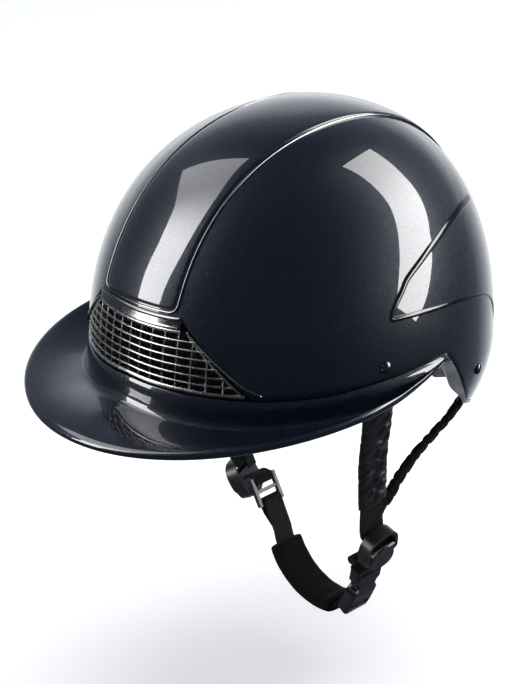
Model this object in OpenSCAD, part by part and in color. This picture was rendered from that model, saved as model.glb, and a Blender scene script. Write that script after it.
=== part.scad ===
// Equestrian riding helmet: a painted dome with a vented front, a wide brim and a full chin harness.
// The origin is where the middle of the head meets the level of the brim. The brim points along -Y,
// the wearer's left is +X and the crown points along +Z. All sizes are in millimetres.

/* [Shell] */
// Half of the shell's width
shell_half_width = 114.8; // [113:0.1:117]
// From the middle of the shell to its front
shell_front = 140.9; // [139:0.1:143]
// From the middle of the shell to its back
shell_back = 131.2; // [129:0.1:133]
// From the level of the brim up to the crown
shell_height = 148.8; // [147:0.1:151]
// Wall of the shell
shell_wall = 3.5; // [3:0.1:3.8]
// Squareness of the dome's profile, where 2 is an ellipse
crown_power = 2.34; // [2.25:0.01:2.45]
// Share of its outline that the nape loses at a depth of 50 mm
nape_tuck = 0.15; // [0.13:0.01:0.17]

/* [Brim] */
// Half of the brim's width
brim_half_width = 122.2; // [121:0.1:124]
// From the brim's widest line to its front tip
brim_reach = 134.6; // [132:0.1:137]
// Thickness of the brim
brim_thickness = 4.6; // [4:0.1:5]

/* [Front] */
// Half of the centre panel's width
panel_half_width = 29.4; // [28:0.1:30]
// Rows of bars in the grille
grille_rows = 6; // [5:1:7]
// Columns of bars in the grille
grille_columns = 15; // [13:2:17]
// Thickness of a grille bar
grille_bar = 1.7; // [1.5:0.1:1.9]

/* [Liner] */
// Thickness of the foam liner
foam_thickness = 26.5; // [24:0.1:28]
// Thickness of the comfort pads
pad_thickness = 5; // [4:0.1:6]

/* [Harness] */
// Width of the side straps' webbing
webbing_width = 19; // [18:0.1:19.2]
// Width of the chin strap's webbing
chin_width = 15; // [14:0.1:16]
// Thickness of the strap webbing
webbing_thickness = 1.4; // [1.2:0.1:1.5]
// Width of the sleeve on a front strap
sleeve_width = 22; // [21:0.1:24]
// Width of the buckle
buckle_width = 22; // [21.6:0.1:23]
// Width of a strap divider
divider_width = 27; // [26.8:0.1:28.4]
// Height of a strap divider
divider_height = 28; // [27.8:0.1:29.4]

/* [Hidden] */

$fn = 48;

paint = [0.07, 0.09, 0.16];
gunmetal = [0.42, 0.41, 0.42];
chrome = [0.75, 0.72, 0.70];
black_plastic = [0.13, 0.13, 0.14];
black_fabric = [0.09, 0.09, 0.10];
foam_grey = [0.30, 0.30, 0.32];

// Clearances between layers
glue_gap = 0.6;
skin_gap = 0.25;
pin_gap = 0.05;

// Lower edge of the shell, as bearing from the front and height, for one side
seam_front = 21;
seam_side = 15.5;
seam_end = 19;
notch_bearing = 95.5;
vent_top = 60;
vent_top_bearing = 19.4;
vent_foot_bearing = 39.4;
vent_foot = 17;
seam_line = [[0, seam_front], [20, 19], [45, 16], [60, seam_side], [73, 17.5], [notch_bearing, seam_end]];
nape_line = [[notch_bearing, seam_end], [99, 9], [104, -11], [109, -26], [120, -37], [140, -46], [180, -42]];
tuck_depth = 50;

// The foam and the pads
foam_inset = shell_wall + glue_gap;
cavity_inset = foam_inset + foam_thickness;
pad_gap = 0.4;
pad_outer = cavity_inset + pad_gap;
pad_inner = pad_outer + pad_thickness;

// Where the harness hangs, on the wearer's left unless a name says otherwise
front_rivet = [74.8, 25.3];
rear_rivet = [112, -7];
rivet_radius = 1.9;
divider_centre = [68, -4.5, -122.8];
divider_turn = [8, 16, 0];
right_divider_centre = [-53, 3, -121];
right_divider_turn = [0, 30, -25];
lock_bar = [-30, 0, -130];
lock_bar_radius = 1.6;
buckle_arc = 89;
buckle_half_depth = 4.5;
pad_arc_centre = [23.8, 0, -138.9];
pad_arc = 43.5;

// ---- Curves and solids ----

function flip(p) = [-p[0], p[1], p[2]];
function unit(v) = v / norm(v);
function blend(a, b, t) = a + (b - a) * t;
function soft(t) = let (u = min(max(t, 0), 1)) u * u * (3 - 2 * u);
function steps(a, b, n) = [for (i = [0 : n]) blend(a, b, i / n)];
function turned(list) = [for (i = [len(list) - 1 : -1 : 0]) list[i]];

// A value read along a line of [key, value] pairs, eased between them
function eased(key, line) =
    let (
        i = max([for (k = [0 : len(line) - 2]) if (key >= line[k][0]) k]),
        t = (key - line[i][0]) / (line[i + 1][0] - line[i][0]))
    blend(line[i][1], line[i + 1][1], min(t, 1));

// A smooth curve through points, with a number of steps in each span
function span_point(a, b, c, d, t) =
    0.5 * (2 * b + (c - a) * t + (2 * a - 5 * b + 4 * c - d) * t * t + (3 * b - a - 3 * c + d) * t * t * t);
function curve(points, count) =
    let (last = len(points) - 1)
    [for (i = [0 : last - 1], s = [0 : count - 1])
        span_point(points[max(i - 1, 0)], points[i], points[i + 1], points[min(i + 2, last)], s / count),
     points[last]];

// Six times the volume that triangles enclose, negative when they are listed clockwise from outside
function signed_volume(points, faces) =
    let (terms = [for (f = faces) points[f[0]] * cross(points[f[1]], points[f[2]])])
    terms * [for (t = terms) 1];

module closed_solid(points, faces) {
    faces_out = signed_volume(points, faces) < 0 ? faces : [for (f = faces) turned(f)];
    polyhedron(points = points, faces = faces_out);
}

function quad(a, b, c, d) = [[a, b, c], [a, c, d]];

// A plate between two grids of points; around closes each row on itself
module plate(front, back, around = false) {
    rows = len(front);
    columns = len(front[0]);
    spans = around ? columns : columns - 1;
    at = function (side, r, c) (side * rows + r) * columns + c % columns;
    points = [for (grid = [front, back]) for (row = grid) for (p = row) p];
    faces = [
        for (r = [0 : rows - 2], c = [0 : spans - 1])
            each quad(at(0, r, c), at(0, r + 1, c), at(0, r + 1, c + 1), at(0, r, c + 1)),
        for (r = [0 : rows - 2], c = [0 : spans - 1])
            each quad(at(1, r, c), at(1, r, c + 1), at(1, r + 1, c + 1), at(1, r + 1, c)),
        for (c = [0 : spans - 1])
            each quad(at(0, 0, c), at(0, 0, c + 1), at(1, 0, c + 1), at(1, 0, c)),
        for (c = [0 : spans - 1])
            each quad(at(0, rows - 1, c + 1), at(0, rows - 1, c), at(1, rows - 1, c), at(1, rows - 1, c + 1)),
        if (!around) for (r = [0 : rows - 2])
            each quad(at(0, r + 1, 0), at(0, r, 0), at(1, r, 0), at(1, r + 1, 0)),
        if (!around) for (r = [0 : rows - 2])
            each quad(at(0, r, spans), at(0, r + 1, spans), at(1, r + 1, spans), at(1, r, spans))];
    closed_solid(points, faces);
}

// A bar with convex rings of points along it; loop joins the last ring to the first
module sweep(rings, loop = false) {
    count = len(rings);
    sides = len(rings[0]);
    spans = loop ? count : count - 1;
    at = function (r, c) (r % count) * sides + c % sides;
    points = [for (ring = rings) for (p = ring) p];
    faces = [
        for (r = [0 : spans - 1], c = [0 : sides - 1])
            each quad(at(r, c), at(r, c + 1), at(r + 1, c + 1), at(r + 1, c)),
        if (!loop) for (c = [1 : sides - 2]) [at(0, 0), at(0, c + 1), at(0, c)],
        if (!loop) for (c = [1 : sides - 2]) [at(count - 1, 0), at(count - 1, c), at(count - 1, c + 1)]];
    closed_solid(points, faces);
}

// ---- The dome ----

// Share of the dome's outline that is left at a height
function outline_share(z, h) =
    z > 0 ? pow(max(1 - pow(z / h, crown_power), 0), 1 / crown_power) : 1 - nape_tuck * pow(z / tuck_depth, 2);

// A point of the dome at a bearing from the front, a height and an inset from the outside
function on_dome(bearing, z, inset) =
    let (
        share = outline_share(z, shell_height - inset),
        along = cos(bearing) > 0 ? shell_front : shell_back)
    [(shell_half_width - inset) * share * sin(bearing), -(along - inset) * share * cos(bearing), z];

// The outward direction of the dome at a point
function outward(p) =
    let (
        along = p[1] < 0 ? shell_front : shell_back,
        share = outline_share(p[2], shell_height),
        swell = p[2] > 0 ? pow(share, crown_power - 2) : 1,
        rise = p[2] > 0 ? pow(p[2] / shell_height, crown_power - 1) / shell_height
                        : 2 * share * nape_tuck * p[2] / pow(tuck_depth, 2))
    unit([p[0] / pow(shell_half_width, 2) * swell, p[1] / pow(along, 2) * swell, rise]);

// Height on the dome by an angle that runs evenly from the rim to the crown
function climb(z, h) = z > 0 ? asin(min(z / h, 1)) : z / h * 180 / PI;
function climbed(angle, h) = angle > 0 ? h * sin(angle) : h * angle * PI / 180;
function row_height(z, share, h) = climbed(blend(climb(z, h), 90, share), h);

// A strip point at a sideways distance, where turn runs from 0 at the front over the crown to 180
function on_strip(x, turn, inset) =
    let (
        h = shell_height - inset,
        side = abs(x) / (shell_half_width - inset),
        top = h * pow(1 - pow(side, crown_power), 1 / crown_power),
        z = top * pow(sin(turn), 2 / crown_power),
        share = outline_share(z, h),
        reach = sqrt(max(share * share - side * side, 0)),
        along = (turn < 90 ? -shell_front + inset : shell_back - inset))
    [x, along * reach, z];
function strip_turn(x, z, inset) =
    let (
        side = abs(x) / (shell_half_width - inset),
        top = (shell_height - inset) * pow(1 - pow(side, crown_power), 1 / crown_power))
    asin(pow(z / top, crown_power / 2));

// A closed wall from a lower edge to the crown
module dome_wall(bearings, edge, outer, inner, rows) {
    count = len(bearings);
    sides = [outer, inner];
    crown_at = function (s) shell_height - sides[s](0, shell_height);
    at = function (s, r, c) (s * rows + r) * count + c % count;
    rings = [for (s = [0, 1], r = [0 : rows - 1], b = bearings)
        let (z = row_height(edge(b), r / rows, crown_at(s)))
        on_dome(b, z, sides[s](b, z))];
    points = concat(rings, [for (s = [0, 1]) [0, 0, crown_at(s)]]);
    top = len(rings);
    faces = [
        for (r = [0 : rows - 2], c = [0 : count - 1])
            each quad(at(0, r, c), at(0, r + 1, c), at(0, r + 1, c + 1), at(0, r, c + 1)),
        for (r = [0 : rows - 2], c = [0 : count - 1])
            each quad(at(1, r, c), at(1, r, c + 1), at(1, r + 1, c + 1), at(1, r + 1, c)),
        for (c = [0 : count - 1]) [at(0, rows - 1, c), top, at(0, rows - 1, c + 1)],
        for (c = [0 : count - 1]) [at(1, rows - 1, c), at(1, rows - 1, c + 1), top + 1],
        for (c = [0 : count - 1])
            each quad(at(0, 0, c), at(0, 0, c + 1), at(1, 0, c + 1), at(1, 0, c))];
    closed_solid(points, faces);
}

// A patch of the dome between two insets
module dome_patch(bearings, low, high, outer, inner, rows) {
    grid = function (inset) [for (r = [0 : rows]) [for (b = bearings)
        let (z = blend(low(b), high(b), r / rows)) on_dome(b, z, inset(b, z))]];
    plate(grid(outer), grid(inner));
}

// A low ridge that follows points of the dome; width may differ at the two ends
module dome_ridge(path, width_start, width_end, height, lift, loop = false) {
    count = len(path);
    rings = [for (i = [0 : count - 1])
        let (
            before = path[loop ? (i + count - 1) % count : max(i - 1, 0)],
            after = path[loop ? (i + 1) % count : min(i + 1, count - 1)],
            up = outward(path[i]),
            side = unit(cross(up, after - before)),
            half = blend(width_start, width_end, i / count) / 2)
        [path[i] + side * half + up * lift,
         path[i] + side * half * 0.55 + up * (lift + height),
         path[i] - side * half * 0.55 + up * (lift + height),
         path[i] - side * half + up * lift]];
    sweep(rings, loop);
}

// ---- Edges shared by the pieces ----

function bearing_of(b) = abs(b > 180 ? b - 360 : b);
function seam(b) = eased(bearing_of(b), seam_line);
function nape(b) = eased(bearing_of(b), nape_line);
function shell_edge(b) =
    let (a = bearing_of(b))
    a >= notch_bearing ? nape(b) :
    a <= vent_top_bearing ? vent_top :
    a < vent_foot_bearing ? blend(vent_top, vent_foot, (a - vent_top_bearing) / (vent_foot_bearing - vent_top_bearing)) :
    seam(b);

// One side's bearings, closer together where the lower edge turns
half_bearings = concat(
    steps(0, vent_top_bearing, 4), steps(vent_top_bearing + 3, vent_foot_bearing - 3, 4),
    steps(vent_foot_bearing, notch_bearing, 11), [97, 99, 101.5, 104, 106.5, 109, 114], steps(120, 174, 9));
full_bearings = concat(half_bearings, [180], [for (b = turned(half_bearings)) if (b > 0) 360 - b]);

module outer_shell() color(paint)
    difference() {
        dome_wall(full_bearings, function (b) shell_edge(b), function (b, z) 0, function (b, z) shell_wall, 13);
        each_rivet() rivet_bore();
    }

// ---- Front and top trim ----

panel_front_z = 66.2;
panel_back_z = 44;
trim_half_width = panel_half_width + 1.4;
trim_front_z = 64.8;
trim_back_z = 42.6;
trim_corner = 5;

panel_corner = 4;
panel_length = 300;
// Shares along the panel, closer together at its ends, and its half width there
panel_shares = let (near = [0, 0.4, 1.2, 2.4, 4, 8])
    concat([for (d = near) d / panel_length], steps(0.06, 0.94, 26), [for (d = turned(near)) 1 - d / panel_length]);
function panel_half(share) =
    let (d = panel_corner - min(panel_corner, min(share, 1 - share) * panel_length))
    panel_half_width - panel_corner + sqrt(pow(panel_corner, 2) - d * d);
module centre_panel() color(paint) {
    grid = function (inset) [for (r = panel_shares)
        [for (x = steps(-panel_half(r), panel_half(r), 6))
            on_strip(x, blend(strip_turn(x, panel_front_z, inset), 180 - strip_turn(x, panel_back_z, inset), r),
                inset)]];
    plate(grid(-1.2), grid(-skin_gap));
}

// One side of the line round the panel, from the middle of the front to the middle of the back
trim_side = let (
    w = trim_half_width,
    front = function (x, z) on_strip(x, strip_turn(x, z, 0), 0),
    back = function (x, z) on_strip(x, 180 - strip_turn(x, z, 0), 0))
    concat(
        [for (x = steps(0, w - trim_corner, 4)) front(x, trim_front_z)],
        [front(w - trim_corner * 0.62, trim_front_z + 0.4), front(w - 1.4, trim_front_z + 1.4),
         front(w - 0.4, trim_front_z + trim_corner * 0.62)],
        [for (t = steps(strip_turn(w, trim_front_z + trim_corner, 0),
            180 - strip_turn(w, trim_back_z + trim_corner, 0), 34)) on_strip(w, t, 0)],
        [back(w - 0.4, trim_back_z + trim_corner * 0.62), back(w - 1.4, trim_back_z + 1.4),
         back(w - trim_corner * 0.62, trim_back_z + 0.4)],
        [for (x = steps(w - trim_corner, 0, 4)) back(x, trim_back_z)]);
module panel_trim() color(chrome)
    dome_ridge(concat(trim_side, [for (p = turned(trim_side)) if (p[0] > 0) flip(p)]), 2, 2, 1.3, skin_gap, true);

module header_bar() color(gunmetal)
    dome_patch(steps(-18.5, 18.5, 10), function (b) 56.5, function (b) 63.6,
        function (b, z) -1.7, function (b, z) -skin_gap, 2);

// The grille fills the vent between its foot on the brim's band and the header bar
grille_top = 54.8;
vent_middle = 35;
function vent_bearing(z) = blend(vent_foot_bearing, vent_top_bearing, (z - vent_foot) / (vent_top - vent_foot)) - 1.5;
function grille_foot(b) = seam(b) + 2;
function bearing_at(x, z) = asin(x / (shell_half_width * outline_share(z, shell_height)));
function row_z(b, share) = blend(grille_foot(b), grille_top, share);

// The lattice has one column more at each side than the bars that reach the top.
// Its fine lines are the two edges of each bar, so odd cells both ways are the holes.
grille_pitch = 128 / grille_columns;
grille_lines = 2 * (grille_columns + 2);
grille_tiers = 2 * (grille_rows + 2);
foot_bar = 3;
top_bar = 2.6;
function edge_side(line) = line % 2 == 0 ? -1 : 1;
function line_x(i) =
    (floor(i / 2) - (grille_columns + 1) / 2) * grille_pitch + edge_side(i) * grille_bar / 2;
function line_z(j, b) =
    let (
        bar = floor(j / 2),
        width = bar == 0 ? foot_bar : bar == grille_rows + 1 ? top_bar : grille_bar)
    row_z(b, bar / (grille_rows + 1)) + edge_side(j) * width / 2;
function lattice_point(i, j, inset) =
    let (z = line_z(j, bearing_at(line_x(i), vent_middle)))
    on_dome(bearing_at(line_x(i), z), z, inset);
// A cell is there when its upper outer corner is within the vent's sloping side
function cell_there(i, j) =
    let (
        x = max(abs(line_x(i)), abs(line_x(i + 1))),
        z = line_z(j + 1, bearing_at(x, vent_middle)))
    i >= 0 && j >= 0 && i < grille_lines - 1 && j < grille_tiers - 1 && bearing_at(x, z) < vent_bearing(z) + 0.6;
function all_there(i, j) =
    min([for (m = [-1 : 1], n = [-1 : 1]) cell_there(i + m, j + n) ? 1 : 0]) == 1;
function cell_solid(i, j) = cell_there(i, j) && !(i % 2 == 1 && j % 2 == 1 && all_there(i, j));
module lattice() {
    points = [for (inset = [0.4, 2.1], j = [0 : grille_tiers - 1], i = [0 : grille_lines - 1])
        lattice_point(i, j, inset)];
    layer = grille_lines * grille_tiers;
    cells = [for (j = [0 : grille_tiers - 2], i = [0 : grille_lines - 2])
        if (cell_solid(i, j)) [i, j]];
    function at(i, j) = j * grille_lines + i;
    function wall(a, b) = quad(a, b, b + layer, a + layer);
    function front_cell(c) = let (k = at(c[0], c[1])) quad(k, k + 1, k + 1 + grille_lines, k + grille_lines);
    front_faces = [for (c = cells) each front_cell(c)];
    back_faces = [for (f = front_faces) [for (k = turned(f)) k + layer]];
    walls = [for (c = cells) let (i = c[0], j = c[1]) each concat(
        cell_solid(i, j - 1) ? [] : wall(at(i + 1, j), at(i, j)),
        cell_solid(i, j + 1) ? [] : wall(at(i, j + 1), at(i + 1, j + 1)),
        cell_solid(i - 1, j) ? [] : wall(at(i, j), at(i, j + 1)),
        cell_solid(i + 1, j) ? [] : wall(at(i + 1, j + 1), at(i + 1, j)))];
    closed_solid(points, concat(front_faces, back_faces, walls));
}
// A bar down each sloping side of the vent
module grille_side(side) {
    drop = (grille_top - vent_foot - 2) / 5;
    for (z = steps(grille_top, vent_foot + 2 + drop, 4))
        hull()
            for (end = [z, z - drop])
                translate(on_dome(side * vent_bearing(end), end, 1.3)) cube([2.2, 2.6, 0.8], center = true);
}
module front_grille() color(gunmetal) union() {
    lattice();
    for (side = [1, -1]) grille_side(side);
}

module vent_mesh() color(black_fabric)
    dome_patch(steps(-42, 42, 20), function (b) 13, function (b) 65,
        function (b, z) 5.2, function (b, z) 5.9, 6);

// The bright line on the shell round the vent's sloping sides and its foot
module opening_trim() color(chrome)
    for (side = [1, -1])
        dome_ridge([for (share = steps(0, 1, 12))
            on_dome(side * (blend(vent_top_bearing, vent_foot_bearing, share) + 0.9 + 1.6 * soft(share * 5 - 4)),
                blend(vent_top - 3.5, vent_foot + 2.4, share), 0)], 1.6, 1.2, 0.8, skin_gap);

module rear_vent() color(gunmetal) union() {
    low = 20;
    high = 40;
    reach = 13;
    frame = concat([for (b = steps(180 - reach, 180 + reach, 6)) on_dome(b, high, 0)],
        [for (b = steps(180 + reach, 180 - reach, 6)) on_dome(b, low, 0)]);
    dome_ridge(frame, 2.6, 2.6, 1.4, skin_gap, true);
    for (row = [1 : 3], column = [0 : 3])
        hull()
            for (b = [column, column + 1])
                translate(on_dome(blend(180 - reach, 180 + reach, b / 4), blend(low, high, row / 4), -0.8))
                    cube([0.5, 0.8, 1.6], center = true);
}

// The V of inlay on each side, as bearings and heights from its back end round to its foot
inlay_upper = [[137, 87.2], [127.4, 89.8], [119.4, 90.9], [107.7, 89.1], [99, 85.2], [92, 80.3], [84.8, 72.8],
    [81.8, 66.4], [79.3, 60.4]];
inlay_lower = [[77.6, 54.2], [77.9, 52.4], [80, 52], [88.2, 50.4], [93.9, 48.8], [100.6, 46.8], [107.3, 43.8],
    [113.7, 40.1], [119.4, 36], [124.7, 29.4], [127.5, 24], [129.2, 19], [130.2, 10]];
module side_trim()
    dome_ridge([for (p = curve(concat(inlay_upper, inlay_lower), 3)) on_dome(p[0], p[1], 0)],
        3.4, 1.8, 0.7, skin_gap);
module side_trim_left() color(black_plastic) side_trim();
module side_trim_right() color(black_plastic) mirror([1, 0, 0]) side_trim();

// ---- Brim ----

junction_line = [[0, 5.6], [21, 0.9], [43, -1.5], [70, 1], [85, 8], [95, 17.4]];
brim_bearing = 94;
brim_sweep = 112;
function brim_edge(s) =
    let (
        angle = abs(s) * brim_sweep,
        free = [brim_half_width * sin(angle), -53.1 - brim_reach * cos(angle),
            -2.5 + 8.4 * pow(sin(angle), 2) + 8.2 * pow(sin(angle / 2), 4)],
        edge = blend(free, on_dome(brim_bearing, 17, -2), soft((angle - 96) / 16)))
    s < 0 ? flip(edge) : edge;
// Stations across the brim, upper and under points in pairs, from the seam out to the edge
function brim_section(s) =
    let (
        b = s * brim_bearing,
        a = abs(b),
        seam_z = seam(b) - 0.4,
        fold_z = eased(a, junction_line),
        drop = 6 - 4.6 * soft((a - 72) / 20),
        edge = brim_edge(s),
        fold = on_dome(b, fold_z, -2.2),
        under = on_dome(b, fold_z - drop, 0.5),
        inward = unit(fold - edge),
        half = [0, 0, (brim_thickness - 2.2 * soft((a - 72) / 22)) / 2],
        crown = [0, 0, 1.6 * (1 - soft((a - 72) / 20))])
    [[on_dome(b, seam_z, 0), on_dome(b, seam_z, shell_wall)],
     [on_dome(b, blend(seam_z, fold_z, 0.2), -0.9), on_dome(b, blend(seam_z, fold_z, 0.2), shell_wall)],
     [on_dome(b, blend(seam_z, fold_z, 0.6), -1.3), on_dome(b, blend(seam_z, fold_z - drop, 0.5), shell_wall)],
     [fold, on_dome(b, fold_z - drop + 0.3, shell_wall - 0.3)],
     [blend(fold, edge, 0.14) + crown * 0.2, blend(under, edge, 0.08) - half * 0.5],
     [blend(fold, edge, 0.5) + crown * 1.6, blend(under, edge, 0.5) - half * 0.9 + crown],
     [blend(fold, edge, 0.85) + crown * 0.8 + half, blend(under, edge, 0.85) - half + crown * 0.5],
     [edge + inward + half, edge + inward - half],
     [edge + half * 0.5, edge - half * 0.5]];
module brim() color(paint) {
    sections = [for (s = steps(-1, 1, 64)) brim_section(s)];
    grid = function (k) [for (r = [0 : 8]) [for (section = sections) section[r][k]]];
    plate(grid(0), grid(1));
}

// ---- Rim and liner ----

rim_depth = 2.6;
rim_inset = 13;
rim_narrow = 3.1;
rear_exit_bearing = 118;
function rim_reach(b) = blend(rim_inset, rim_narrow, soft((14 - abs(bearing_of(b) - rear_exit_bearing)) / 4));
module rim_trim() color(black_plastic) {
    bearings = [for (b = full_bearings) if (b > 96 && b < 264) b];
    edge_at = function (b, inset) on_dome(b, nape(b), inset);
    sweep([for (b = bearings)
        let (
            along = edge_at(b + 1, 0) - edge_at(b - 1, 0),
            reach = rim_reach(b),
            inward = unit(edge_at(b, rim_inset) - edge_at(b, 0)),
            away = -unit(cross(along, inward)))
        [edge_at(b, 0.2) + away * 0.3, edge_at(b, reach) + away * 0.3,
         edge_at(b, reach) + away * rim_depth, edge_at(b, 0.8) + away * rim_depth]]);
}

foam_line = [[0, 1.5], [58, 1.5], [80, 9], [notch_bearing, 23], [99, 15], [104, -5], [109, -20], [120, -32],
    [140, -41], [180, -37]];
function foam_edge(b) = eased(bearing_of(b), foam_line);
strap_channel = 4.4;
function channel(a, z, place) = strap_channel * soft((11 - abs(a - place[0])) / 3.5) * soft((place[1] + 20 - z) / 7);
function foam_dip(b, z) =
    let (a = bearing_of(b))
    4.5 * soft((47 - a) / 5) * soft((z - 6) / 5) * soft((74 - z) / 7)
    + channel(a, z, front_rivet) + channel(a, z, rear_rivet);
module foam_liner() color(foam_grey)
    dome_wall(full_bearings, function (b) foam_edge(b), function (b, z) foam_inset + foam_dip(b, z),
        function (b, z) cavity_inset, 14);

module pad_patch(from, to, low, high) color(black_fabric)
    dome_patch(steps(from, to, 12), low, high, function (b, z) pad_outer, function (b, z) pad_inner, 4);
module headband_front() pad_patch(-54, 54, function (b) 4, function (b) 38);
module headband_rear() pad_patch(134, 226, function (b) nape(b) + 17, function (b) 6);
module side_pad_left() pad_patch(60, 120, function (b) 29 - 6 * cos(3 * (b - 60)), function (b) 58);
module side_pad_right() mirror([1, 0, 0]) side_pad_left();
module crown_pad() color(black_fabric) {
    grid = function (inset) [for (t = steps(62, 118, 8)) [for (x = steps(-30, 30, 6)) on_strip(x, t, inset)]];
    plate(grid(pad_outer), grid(pad_inner));
}

// ---- Rivets ----

module point_along(direction)
    rotate([0, acos(direction[2]), atan2(direction[1], direction[0])]) children();
module at_rivet(place) {
    p = on_dome(place[0], place[1], 0);
    translate(p) point_along(outward(p)) children();
}
module each_side() {
    children();
    mirror([1, 0, 0]) children();
}
module rivet_bore() translate([0, 0, -9]) cylinder(h = 12, r = rivet_radius + pin_gap);
module each_rivet() each_side() for (place = [front_rivet, rear_rivet]) at_rivet(place) children();

strap_inset = shell_wall + 0.9 + webbing_thickness / 2;
rivet_length = strap_inset + webbing_thickness / 2 + 1.5;
module rivet() {
    head = 3.9;
    translate([0, 0, -rivet_length]) cylinder(h = rivet_length + 0.6, r = rivet_radius);
    rotate_extrude()
        polygon(concat([[0, 0.25], [head, 0.25]], [for (a = steps(10, 90, 5)) [head * cos(a), 0.4 + 1.5 * sin(a)]]));
}
module front_rivets() color(gunmetal) each_side() at_rivet(front_rivet) rivet();
module rear_rivets() color(gunmetal) each_side() at_rivet(rear_rivet) rivet();
module rivet_washers() color(gunmetal) each_rivet()
    translate([0, 0, -rivet_length]) difference() {
        cylinder(h = 0.8, r = 4.2);
        translate([0, 0, -1]) cylinder(h = 3, r = rivet_radius + pin_gap);
    }

// ---- Straps ----

// A vector turned by the same angles as rotate() uses
function turn_by(v, a) =
    let (
        p = [v[0], v[1] * cos(a[0]) - v[2] * sin(a[0]), v[1] * sin(a[0]) + v[2] * cos(a[0])],
        q = [p[0] * cos(a[1]) + p[2] * sin(a[1]), p[1], p[2] * cos(a[1]) - p[0] * sin(a[1])])
    [q[0] * cos(a[2]) - q[1] * sin(a[2]), q[0] * sin(a[2]) + q[1] * cos(a[2]), q[2]];

// Rings of a flat strap along a path, with the width's direction easing from one end to the other
function strap_rings(path, width, depth, across_start, across_end) =
    let (last = len(path) - 1)
    [for (i = [0 : last])
        let (
            along = path[min(i + 1, last)] - path[max(i - 1, 0)],
            rough = blend(across_start, across_end, soft(i / last)),
            face = unit(cross(rough, along)),
            across = unit(cross(along, face)) * width / 2,
            half = face * depth / 2)
        [path[i] + across + half, path[i] - across + half, path[i] - across - half, path[i] + across - half]];

// A divider stands at a centre and a turn; its own +X faces out and its own +Z points up the straps
function divider_point(hang, local) = hang[0] + turn_by(local, hang[1]);
left_hang = [divider_centre, divider_turn];
right_hang = [flip(right_divider_centre), right_divider_turn];
divider_base = 2.6;
divider_slot_z = 8;
divider_slot = 4.4;
slot_depth = webbing_thickness / 2 + 0.4;
rim_across = [0.2, 0.98, 0];

front_exit = [97.6, -31, -9];
function front_path(hang) =
    let (
        top = divider_point(hang, [-slot_depth - 1, -2.5, 20]),
        fall = top - front_exit)
    curve([
        on_dome(front_rivet[0], front_rivet[1] + 9, strap_inset), on_dome(front_rivet[0], front_rivet[1], strap_inset),
        on_dome(front_rivet[0], 8, strap_inset + 0.6), [101, -33, -3],
        front_exit + fall * 0.15, front_exit + fall * 0.45 + [-1, -0.5, 0], front_exit + fall * 0.78 + [-1.5, 1.5, 0],
        top, divider_point(hang, [-slot_depth - 0.5, -0.4, divider_slot_z + 2.5]),
        divider_point(hang, [divider_base / 2, 0, divider_slot_z]),
        divider_point(hang, [divider_base + slot_depth, 0, divider_slot_z - 2.6]),
        divider_point(hang, [divider_base + slot_depth, 0, 0])], 4);
rear_exit = [85.6, 55.6, -38];
function rear_path(hang) =
    let (
        top = divider_point(hang, [-slot_depth - 3.8, 6, 18]),
        fall = top - rear_exit)
    curve([
        on_dome(rear_rivet[0], rear_rivet[1] + 8, strap_inset), on_dome(rear_rivet[0], rear_rivet[1], strap_inset),
        on_dome(rear_rivet[0] + 1, -22, strap_inset + 1.4), [88.4, 54.6, -34], rear_exit + fall * 0.12 + [0, 0, -1],
        rear_exit + fall * 0.45 + [0, -8, 0], rear_exit + fall * 0.78 + [0, -5, 0], top,
        divider_point(hang, [-slot_depth - 3.2, 4, 11]), divider_point(hang, [-slot_depth - 2.6, 3, 4])], 4);
divider_across = [0, 1, 0];
rear_webbing_width = 12;
rear_across = [-0.35, 0.93, 0];

module front_strap(hang) difference() {
    sweep(strap_rings(front_path(hang), webbing_width, webbing_thickness, rim_across,
        turn_by(divider_across, hang[1])));
    at_rivet(front_rivet) rivet_bore();
}
module rear_strap(hang) difference() {
    sweep(strap_rings(rear_path(hang), rear_webbing_width, webbing_thickness, rear_across,
        turn_by(divider_across, hang[1])));
    at_rivet(rear_rivet) rivet_bore();
}
// A hollow sleeve round a stretch of a strap's path
module sleeve(path, first, last, across, width, depth, strap) {
    part = function (rings) [for (i = [first : last]) rings[i]];
    plate(part(strap_rings(path, width, depth, across[0], across[1])),
        part(strap_rings(path, strap + 1, webbing_thickness + 0.8, across[0], across[1])), around = true);
}
module front_sleeve(hang)
    sleeve(front_path(hang), 13, 25, [rim_across, turn_by(divider_across, hang[1])], sleeve_width, 4.4, webbing_width);
module rear_sleeve(hang)
    sleeve(rear_path(hang), 16, 25, [rear_across, turn_by(divider_across, hang[1])], 15, 4.4, rear_webbing_width);

module front_strap_left() color(black_fabric) front_strap(left_hang);
module front_strap_right() color(black_fabric) mirror([1, 0, 0]) front_strap(right_hang);
module front_sleeve_left() color(black_fabric) front_sleeve(left_hang);
module front_sleeve_right() color(black_fabric) mirror([1, 0, 0]) front_sleeve(right_hang);
module rear_strap_left() color(black_fabric) rear_strap(left_hang);
module rear_strap_right() color(black_fabric) mirror([1, 0, 0]) rear_strap(right_hang);
module rear_sleeve_left() color(black_fabric) rear_sleeve(left_hang);
module rear_sleeve_right() color(black_fabric) mirror([1, 0, 0]) rear_sleeve(right_hang);

// ---- Dividers and their cam levers ----

lever_axis_x = 7.1;
lever_pin = 1.1;
lever_barrel = 2.3;
lever_reach = 13.6;
ear_inner = 10.4;
ear_outer = 12.9;
rim_height = 8.6;
rim_wall = 2.3;
rim_slope = 19;

// A rounded outline, fuller in its corners than an ellipse
oval_power = 2.6;
function full(v) = sign(v) * pow(abs(v), 2 / oval_power);
function oval(width, height, from = 0, to = 360) =
    [for (a = [from : 7.5 : to - 1]) [width / 2 * full(cos(a)), height / 2 * full(sin(a))]];
// A plate in a divider's own frame, from one depth to another along its +X
module facing(from, to) translate([from, 0, 0]) rotate([90, 0, 90]) linear_extrude(to - from) children();

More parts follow.
